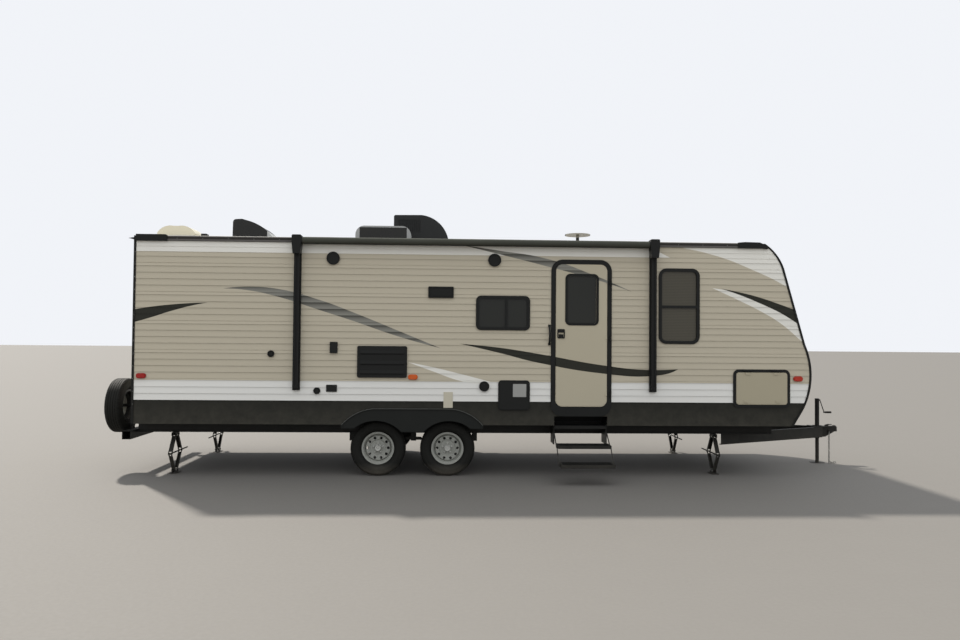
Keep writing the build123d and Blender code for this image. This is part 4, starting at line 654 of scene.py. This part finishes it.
def tyrePart(look):
    # radius = crown - groove depth - notch depth; the grooves sway as a triangle wave, once a pitch
    share = np.array([0.0, 0.08, 0.42, 0.5, 0.75])
    wave = np.array([-1.0, -0.68, 0.68, 1.0, 0.0])
    notched = np.array([0.0, 1.0, 1.0, 0.0, 0.0])

    def crownRadius(y):
        return look["radius"] - look["crown"] * (y / look["crownHalf"]) ** 2

    rows = [(y, radius, notch, 0.0) for y, radius, notch in tyreFlank]
    ribs = list(look["grooves"]) + [None]
    for groove, following in zip(ribs, ribs[1:]):
        for offset, depth in ((look["grooveHalf"], 0.0), (look["floorHalf"], look["depth"]),
                              (-look["floorHalf"], look["depth"]), (-look["grooveHalf"], 0.0)):
            y = groove + offset
            rows.append((y, crownRadius(y) - depth, 0.0, look["sway"]))
        if following is not None:
            middle = (groove + following) / 2
            rows.append((middle, crownRadius(middle), 0.0, 0.0))
    rows += [(-y, radius, notch, 0.0) for y, radius, notch in tyreFlank[::-1]]
    rows += [(-y, radius, 0.0, 0.0) for y, radius in tyreLiner[:-1]]
    rows += [(y, radius, 0.0, 0.0) for y, radius in tyreLiner[::-1]]
    table = np.array(rows) / 1000
    angle = ((np.arange(look["pitches"])[:, None] + share) / look["pitches"] * 2 * np.pi).ravel()
    along = table[:, 0, None] + table[:, 3, None] * np.tile(wave, look["pitches"])
    radius = table[:, 1, None] - table[:, 2, None] * np.tile(notched, look["pitches"])
    points = np.stack([radius * np.cos(angle), along, radius * np.sin(angle)], axis=-1)
    return points.reshape(-1, 3), gridFaces(len(table), len(angle), True, True)


def turnedHex(profile, middle, turns=24):
    # each (along, radius, share of hexagon) goes round the Y axis
    along, radius, hexShare = np.array(profile).T
    angle = np.arange(turns) * 2 * np.pi / turns
    flat = math.cos(math.pi / 6) / np.cos(angle % (math.pi / 3) - math.pi / 6)
    reach = radius[:, None] * (1 - hexShare[:, None] + hexShare[:, None] * flat)
    along = np.repeat(along[:, None], turns, axis=1)
    points = np.stack([reach * np.cos(angle), along, reach * np.sin(angle)], axis=-1)
    return points.reshape(-1, 3) + np.array(middle), gridFaces(len(along), turns, False, True)


# Wheel fittings, built about the hub with +Y outwards: nuts, a ring round the cap and the valve
wheelFit = {"nuts": 5, "circle": 0.0572, "face": 0.034, "capRadius": 0.035, "capReach": 0.080, "capTurns": 40,
            "valveRadius": 0.150, "valveBar": 0.0038, "valveSides": 12}
nutProfile = ((-0.002, 0.0, 0), (-0.002, 0.0125, 0), (0.0015, 0.0125, 0), (0.0022, 0.0120, 1),
              (0.0125, 0.0120, 1), (0.0150, 0.0095, 0.2), (0.0185, 0.0078, 0), (0.0200, 0.0050, 0),
              (0.0205, 0.0, 0))
# the ring: distances from the face and from the cap's radius
capRing = ((-0.001, -0.002), (-0.001, 0.005), (0.004, 0.005), (0.006, 0.0015), (0.010, 0.0010),
           (0.010, -0.002))
# the cap's end: distance from its reach, and radius
capEnd = ((-0.004, 0.0), (-0.004, 0.0352), (-0.0015, 0.0345), (0.0005, 0.032), (0.0005, 0.015),
          (-0.0005, 0.013), (0.0015, 0.010), (0.0020, 0.0))
# the valve leans in: distance from its radius, and along the axle
valvePath = ((0.0, 0.012), (-0.001, 0.030), (-0.004, 0.044), (-0.007, 0.054))
wheelPlaces = {"axles": {"rear": -5.919, "front": -5.081}, "hubY": 1.005, "hubZ": 0.3315,
               "spare": (-9.095, -0.739, 0.806)}


def wheelParts(withCap):
    face, circle, turns = wheelFit["face"], wheelFit["circle"], wheelFit["capTurns"]
    parts = []
    for index in range(wheelFit["nuts"]):
        turn = 2 * math.pi * (index + 0.25) / wheelFit["nuts"]
        parts.append(turnedHex(nutProfile, (circle * math.cos(turn), face, circle * math.sin(turn))))
    if withCap:
        ring = [(face + along, wheelFit["capRadius"] + out) for along, out in capRing]
        end = [(wheelFit["capReach"] + along, radius) for along, radius in capEnd]
        parts += [revolved(ring, turns, (0, 0, 0), closed=True), revolved(end, turns, (0, 0, 0))]
    return parts


def valvePart():
    path = [(wheelFit["valveRadius"] + out, along, 0) for out, along in valvePath]
    return swept(path, wheelFit["valveBar"], wheelFit["valveSides"])


tyreShape = tyrePart(tyreLook)
for side, sign in (("near", -1), ("far", 1)):
    for axle, hubX in wheelPlaces["axles"].items():
        body = "wheel_" + axle + "_" + side
        hub = (hubX, sign * wheelPlaces["hubY"], wheelPlaces["hubZ"])
        place = Matrix.Translation(hub) @ Matrix.Rotation(0 if sign > 0 else math.pi, 4, "Z")
        addPiece(body + "_treaded", moved([tyreShape], place), "rubber", body, 32.0, (body + "_tyre",))
        addPiece(body + "_nuts", moved(wheelParts(True), place), "capSteel", body)
        addPiece(body + "_valve", moved([valvePart()], place), "rubber", body)
sparePlace = Matrix.Translation(wheelPlaces["spare"]) @ Matrix.Rotation(math.pi / 2, 4, "Z")
addPiece("spare_treaded", moved([tyreShape], sparePlace), "rubber", "trailer", 32.0, ("spare_tyre",))
addPiece("spare_nuts", moved(wheelParts(False), sparePlace), "zinc", "trailer")
print("tyres and wheel fittings made")

# A bead along each fender's upper lip, coloured light grey as a painted highlight on the lip's rounded edge
fenderHighlightBead = {"middle": -5.5, "half": 0.844, "low": 0.628, "shoulder": (0.686, 0.757),
              "crest": (0.459, 0.824), "away": 1.2325, "inset": 0.004, "radius": 0.0022, "riseSteps": 24,
              "crestSteps": 20, "sides": 8}


def beadPath(highlightBead):
    # up over the shoulder, along the crest and down again, drawn in a little from the outer edge
    (shoulderX, shoulderZ), (crestX, crestZ) = highlightBead["shoulder"], highlightBead["crest"]
    rise = arcThrough((-highlightBead["half"], highlightBead["low"]), (-shoulderX, shoulderZ), (-crestX, crestZ),
                      highlightBead["riseSteps"])
    crest = np.linspace(-crestX, crestX, highlightBead["crestSteps"])[1:-1]
    flat = np.stack([crest, np.full(len(crest), crestZ)], axis=-1)
    line = np.vstack([rise, flat, rise[::-1] * np.array([-1.0, 1.0])])
    return np.stack([line[:, 0] * (1 - highlightBead["inset"]) + highlightBead["middle"], np.full(len(line), -highlightBead["away"]),
                     line[:, 1] - highlightBead["inset"]], axis=-1)


beadPart = swept(beadPath(fenderHighlightBead), fenderHighlightBead["radius"], fenderHighlightBead["sides"])
addPiece("fender_highlight_beads", [beadPart, mirrored(beadPart)], "highlightBead", "trailer", 60.0)

# The awning's cloth: a roll with a seam all along and a hem bar under it
awningRoll = {"x0": -6.811, "x1": -2.679, "y": -1.301, "z": 2.808, "radius": 0.0400, "lap": 0.0016,
              "rings": 60, "turns": 64, "wave": (0.0003, 9.0, 2.0), "ripple": (0.0002, 23.0)}
awningHem = {"angle": -1.9, "off": 0.003, "inset": 0.02, "rings": 40, "radius": 0.0045, "sides": 12}


def rollPart(roll):
    # radius = base + lap thickness that grows round the turn, with slight waves along the length
    x = np.linspace(roll["x0"], roll["x1"], roll["rings"])
    angle = np.linspace(0, 2 * np.pi, roll["turns"])
    (wave, waveRate, waveTwist), (ripple, rippleRate) = roll["wave"], roll["ripple"]
    wave = wave * np.sin(x[:, None] * waveRate + waveTwist * np.cos(angle))
    wave = wave + ripple * np.sin(x[:, None] * rippleRate)
    radius = roll["radius"] + roll["lap"] * angle / (2 * np.pi) + wave
    turned = angle + awningHem["angle"]
    along = np.repeat(x[:, None], len(angle), axis=1)
    points = np.stack([along, radius * np.cos(turned), radius * np.sin(turned)], axis=-1)
    points = withPoles(points, (roll["x0"], 0.0, 0.0), (roll["x1"], 0.0, 0.0))
    middle = np.array([0, roll["y"], roll["z"]])
    return points.reshape(-1, 3) + middle, gridFaces(len(points), len(angle), False, True)


addPiece("awning_roll", [rollPart(awningRoll)], "cloth", "trailer", 40.0)
hemAngle, hemInset = awningHem["angle"], awningHem["inset"]
hemReach = awningRoll["radius"] + awningHem["off"]
hemPlace = (awningRoll["y"] + hemReach * math.cos(hemAngle), awningRoll["z"] + hemReach * math.sin(hemAngle))
hemLine = np.linspace(awningRoll["x0"] + hemInset, awningRoll["x1"] - hemInset, awningHem["rings"])
hemPart = swept([(x, *hemPlace) for x in hemLine], awningHem["radius"], awningHem["sides"])
addPiece("awning_hem", [hemPart], "awning", "trailer", 60.0)

# Grip strips on the steps: ridged bars along each tread
gripLook = {"x0": -3.765, "x1": -3.191, "treads": ((-1.080, 0.622), (-1.400, 0.425), (-1.640, 0.238)),
            "offsets": (-0.070, -0.020, 0.030, 0.080), "half": 0.014, "pitch": 0.007, "low": 0.0012,
            "high": 0.0026, "sunk": 0.001}


def gripPart(look, y, z):
    # a flat bar whose top steps up and down along its length
    count = int((look["x1"] - look["x0"]) / look["pitch"]) * 2
    x = np.linspace(look["x0"], look["x1"], count)
    top = z + np.where(np.arange(count) % 4 < 2, look["high"], look["low"])
    low = np.full(count, z - look["sunk"])
    sides = ((-look["half"], low), (-look["half"], top), (look["half"], top), (look["half"], low))
    lines = [np.stack([x, np.full(count, y + offset), height], axis=-1) for offset, height in sides]
    rings = np.stack(lines, axis=1)
    rings = withPoles(rings, rings[0].mean(axis=0), rings[-1].mean(axis=0))
    return rings.reshape(-1, 3), gridFaces(len(rings), 4, False, True)


gripParts = [gripPart(gripLook, y + offset, z)
             for y, z in gripLook["treads"] for offset in gripLook["offsets"]]
addPiece("step_grips", gripParts, "grip", "trailer", 30.0)
print("bead, roll and grips made")

# Stabilisers: bolt heads on the pins and a thread on each screw
jackFit = {"xs": {"rear": -8.396, "front": -1.750}, "y": 0.880, "topZ": 0.465, "footZ": 0.040,
           "pinOffset": 0.038, "topReach": 0.0275, "footReach": 0.0235, "screwZ": 0.2525,
           "threadHalf": 0.135, "pitch": 0.006, "crest": 0.0089, "root": 0.0078, "threadTurns": 16}
headProfile = ((0.0, 0.0, 0), (0.0, 0.0125, 0), (0.0012, 0.0125, 0), (0.0014, 0.0105, 1), (0.0066, 0.0105, 1),
               (0.0075, 0.0092, 0.2), (0.0075, 0.0, 0))


def boltPair(middle, reach):
    # a head on each end of a pin along X
    parts = []
    for sign in (-1, 1):
        place = Matrix.Translation((middle[0] + sign * reach, middle[1], middle[2])) @ Matrix.Rotation(
            -sign * math.pi / 2, 4, "Z")
        parts += moved([turnedHex(headProfile, (0, 0, 0))], place)
    return parts


def threadPart(x, y, z):
    # crests and roots in turn along the screw
    along = np.arange(-jackFit["threadHalf"], jackFit["threadHalf"], jackFit["pitch"] / 2)
    radius = np.where(np.arange(len(along)) % 2 == 0, jackFit["root"], jackFit["crest"])
    profile = [(along[0], 0.0), *zip(along, radius), (along[-1], 0.0)]
    return revolved(profile, jackFit["threadTurns"], (x, y, z))


topBolts = []
for end, x in jackFit["xs"].items():
    for side, sign in (("near", -1), ("far", 1)):
        y = sign * jackFit["y"]
        footBolts = []
        for offset in (-jackFit["pinOffset"], jackFit["pinOffset"]):
            topBolts += boltPair((x, y + offset, jackFit["topZ"]), jackFit["topReach"])
            footBolts += boltPair((x, y + offset, jackFit["footZ"]), jackFit["footReach"])
        name = "jack_" + end + "_" + side
        addPiece(name + "_bolts", footBolts, "zinc", name + "_foot")
        addPiece(name + "_thread", [threadPart(x, y, jackFit["screwZ"])], "zinc", name + "_screw", 20.0)
addPiece("jack_top_bolts", topBolts, "zinc", "trailer")

# Tongue jack: a ribbed grip on the crank and bolts in its flange
crankLook = {"z": 0.690, "turns": 24, "start": [(0.118, 0.0), (0.118, 0.0118), (0.122, 0.0135)],
             "ribs": (0.126, 0.190, 0.008),
             "rib": [(0, 0.0135), (0.0015, 0.0122), (0.0030, 0.0122), (0.0045, 0.0135)],
             "end": [(0.195, 0.0135), (0.1985, 0.0115), (0.1985, 0.0)]}
crankRibs = [(x + along, radius) for x in np.arange(*crankLook["ribs"]) for along, radius in crankLook["rib"]]
crankGrip = crankLook["start"] + crankRibs + crankLook["end"]
crankPart = revolved(crankGrip, crankLook["turns"], (0, 0, crankLook["z"]), axis=0)
addPiece("crank_grip", [crankPart], "grip", "trailer", 30.0)
flangeFit = {"bolts": 3, "circle": 0.048, "z": 0.5105}
flangeBolts = []
for index in range(flangeFit["bolts"]):
    turn = 2 * math.pi * (index + 0.5) / flangeFit["bolts"]
    spot = (flangeFit["circle"] * math.cos(turn), flangeFit["circle"] * math.sin(turn), flangeFit["z"])
    place = Matrix.Translation(spot) @ Matrix.Rotation(math.pi / 2, 4, "X")
    flangeBolts += moved([turnedHex(headProfile, (0, 0, 0))], place)
addPiece("flange_bolts", flangeBolts, "zinc", "trailer")
print("jack fittings made")

# Sealant beads round the roof equipment, lying on the crowned roof
roofLine = {"edge": 1.219, "edgeZ": 2.850, "crownZ": 2.950, "beadRadius": 0.009, "beadSides": 8,
            "sideSteps": 16, "poleX": -3.330, "poleRadius": 0.026, "poleSteps": 32}
roofFeet = (
    # x0, x1, y0, y1 of what stands on the roof
    (-5.809, -5.097, -0.348, 0.348), (-7.929, -7.400, -0.240, 0.240), (-6.274, -5.571, -0.640, -0.360),
    (-8.730, -8.265, -0.700, -0.340), (-8.240, -8.164, -0.540, -0.460),
)


def onRoof(x, y):
    # the crown is a circle through both edges and the middle
    rise = roofLine["crownZ"] - roofLine["edgeZ"]
    circle = (roofLine["edge"] ** 2 + rise ** 2) / (2 * rise)
    return np.stack([x, y, roofLine["crownZ"] - circle + np.sqrt(circle ** 2 - y ** 2)], axis=-1)


def footPath(x0, x1, y0, y1):
    # the four sides in short steps, so that the bead follows the crown
    step = np.linspace(0, 1, roofLine["sideSteps"], endpoint=False)
    still = np.ones(len(step))
    x = np.concatenate([x0 + (x1 - x0) * step, x1 * still, x1 + (x0 - x1) * step, x0 * still])
    y = np.concatenate([y0 * still, y0 + (y1 - y0) * step, y1 * still, y1 + (y0 - y1) * step])
    return onRoof(x, y)


turn = np.linspace(0, 2 * np.pi, roofLine["poleSteps"], endpoint=False)
poleX, poleRadius = roofLine["poleX"], roofLine["poleRadius"]
polePath = onRoof(poleX + poleRadius * np.cos(turn), poleRadius * np.sin(turn))
sealantPaths = [footPath(*foot) for foot in roofFeet] + [polePath]
sealantParts = [swept(line, roofLine["beadRadius"], roofLine["beadSides"], True) for line in sealantPaths]
addPiece("roof_sealant", sealantParts, "sealant", "trailer", 60.0)

# Screws down the rear corner mouldings and along the drip rails
screwLook = {"mouldingX": -8.788, "mouldingY": 1.2228, "lowZ": 0.86, "highZ": 2.74, "railY": 1.2298,
             "railZ": 2.8225, "railX0": -8.30, "railX1": -1.70, "spacing": 0.15, "turns": 12}
screwProfile = ((-0.001, 0.0), (-0.001, 0.0046), (0.0006, 0.0045), (0.0018, 0.0034), (0.0024, 0.0018),
                (0.0025, 0.0))
screwHead = revolved([(-along, radius) for along, radius in screwProfile], screwLook["turns"], (0, 0, 0))
mouldingHeights = np.arange(screwLook["lowZ"], screwLook["highZ"], screwLook["spacing"])
railPlaces = np.arange(screwLook["railX0"], screwLook["railX1"], 2 * screwLook["spacing"])
screwPlaces = [(screwLook["mouldingX"], -screwLook["mouldingY"], z) for z in mouldingHeights]
screwPlaces += [(x, -screwLook["railY"], screwLook["railZ"]) for x in railPlaces]
screwParts = [(screwHead[0] + np.array(spot), screwHead[1]) for spot in screwPlaces]
addPiece("trim_screws", screwParts + [mirrored(part) for part in screwParts], "zinc", "trailer")
print("roof sealant and screws made")

# Floor, light and camera
studio = {"floor": srgb(106, 103, 98), "back": (0.88, 0.90, 0.94, 1.0), "zenith": (1.5, 1.55, 1.62, 1.0),
          "horizon": (0.92, 0.93, 0.95, 1.0), "glossShare": 0.45, "sunStrength": 5.2, "sunAngle": 3.0,
          "sunPath": (1.5, -2.0, -2.9), "sunColour": (1.0, 0.95, 0.88), "floorHalf": 120.0}
floorMesh = bpy.data.meshes.new("studioFloor")
half = studio["floorHalf"]
floorCorners = [(-half, -half, 0), (half, -half, 0), (half, half, 0), (-half, half, 0)]
floorMesh.from_pydata(floorCorners, [], [(0, 1, 2, 3)])
floor = bpy.data.objects.new("studioFloor", floorMesh)
bpy.context.scene.collection.objects.link(floor)
floorMaterial = makePlainMaterial("studioFloorFinish", studio["floor"], 0.8, scale=30.0, variation=0.02,
                                  bump=0.05)
floorMesh.materials.append(floorMaterial)

world = bpy.data.worlds.new("studioWorld")
bpy.context.scene.world = world
world.use_nodes = True
worldTree = world.node_tree
worldTree.nodes.clear()
lightPath = worldTree.nodes.new("ShaderNodeLightPath")
skyPlace = worldTree.nodes.new("ShaderNodeTexCoord").outputs["Generated"]
skyHeight = mapRange(worldTree, splitAxes(worldTree, skyPlace)[2])
skyColour = mixColour(worldTree, skyHeight, studio["horizon"], studio["zenith"])
isGloss = lightPath.outputs["Is Glossy Ray"]
gloss = mathNode(worldTree, "MULTIPLY_ADD", isGloss, studio["glossShare"] - 1.0, 1.0)
skyGlow = addNode(worldTree, "ShaderNodeBackground", Color=skyColour, Strength=gloss)
backGlow = addNode(worldTree, "ShaderNodeBackground", Color=studio["back"], Strength=1.0)
pick = worldTree.nodes.new("ShaderNodeMixShader")
worldOut = worldTree.nodes.new("ShaderNodeOutputWorld")
join(worldTree, lightPath.outputs["Is Camera Ray"], pick.inputs[0])
join(worldTree, skyGlow.outputs[0], pick.inputs[1])
join(worldTree, backGlow.outputs[0], pick.inputs[2])
join(worldTree, pick.outputs[0], worldOut.inputs[0])

sun = bpy.data.lights.new("softSun", "SUN")
sun.energy = studio["sunStrength"]
sun.angle = math.radians(studio["sunAngle"])
sun.color = studio["sunColour"]
sunObject = bpy.data.objects.new("softSun", sun)
sunObject.rotation_euler = Vector(studio["sunPath"]).to_track_quat("-Z", "Y").to_euler()
bpy.context.scene.collection.objects.link(sunObject)

cameraView = {"place": (-5.074, -10.536, 1.662), "lens": 29.14, "sensor": 36.0, "yaw": 0.03973,
              "pitch": 0.02413, "roll": 0.00844, "clipEnd": 500}


def makeCamera(values):
    # looks along +Y, then turned right by yaw, up by pitch and rolled about its own axis
    yaw, pitch, roll = values["yaw"], values["pitch"], values["roll"]
    forward = np.array([math.sin(yaw), math.cos(yaw), 0.0])
    right = np.array([math.cos(yaw), -math.sin(yaw), 0.0])
    up = np.array([0.0, 0.0, 1.0])
    aim = math.cos(pitch) * forward + math.sin(pitch) * up
    top = -math.sin(pitch) * forward + math.cos(pitch) * up
    side = math.cos(roll) * right + math.sin(roll) * top
    top = -math.sin(roll) * right + math.cos(roll) * top
    camera = bpy.data.cameras.new("photoCamera")
    camera.lens = values["lens"]
    camera.sensor_width = values["sensor"]
    camera.clip_end = values["clipEnd"]
    cameraObject = bpy.data.objects.new("photoCamera", camera)
    turned = np.eye(4)
    turned[:3, 0], turned[:3, 1], turned[:3, 2], turned[:3, 3] = side, top, -aim, values["place"]
    cameraObject.matrix_world = Matrix(turned.tolist())
    bpy.context.scene.collection.objects.link(cameraObject)
    return cameraObject


bpy.context.scene.camera = makeCamera(cameraView)
bpy.context.scene.view_settings.view_transform = "Standard"
print("studio and camera set")

bpy.context.view_layer.update()
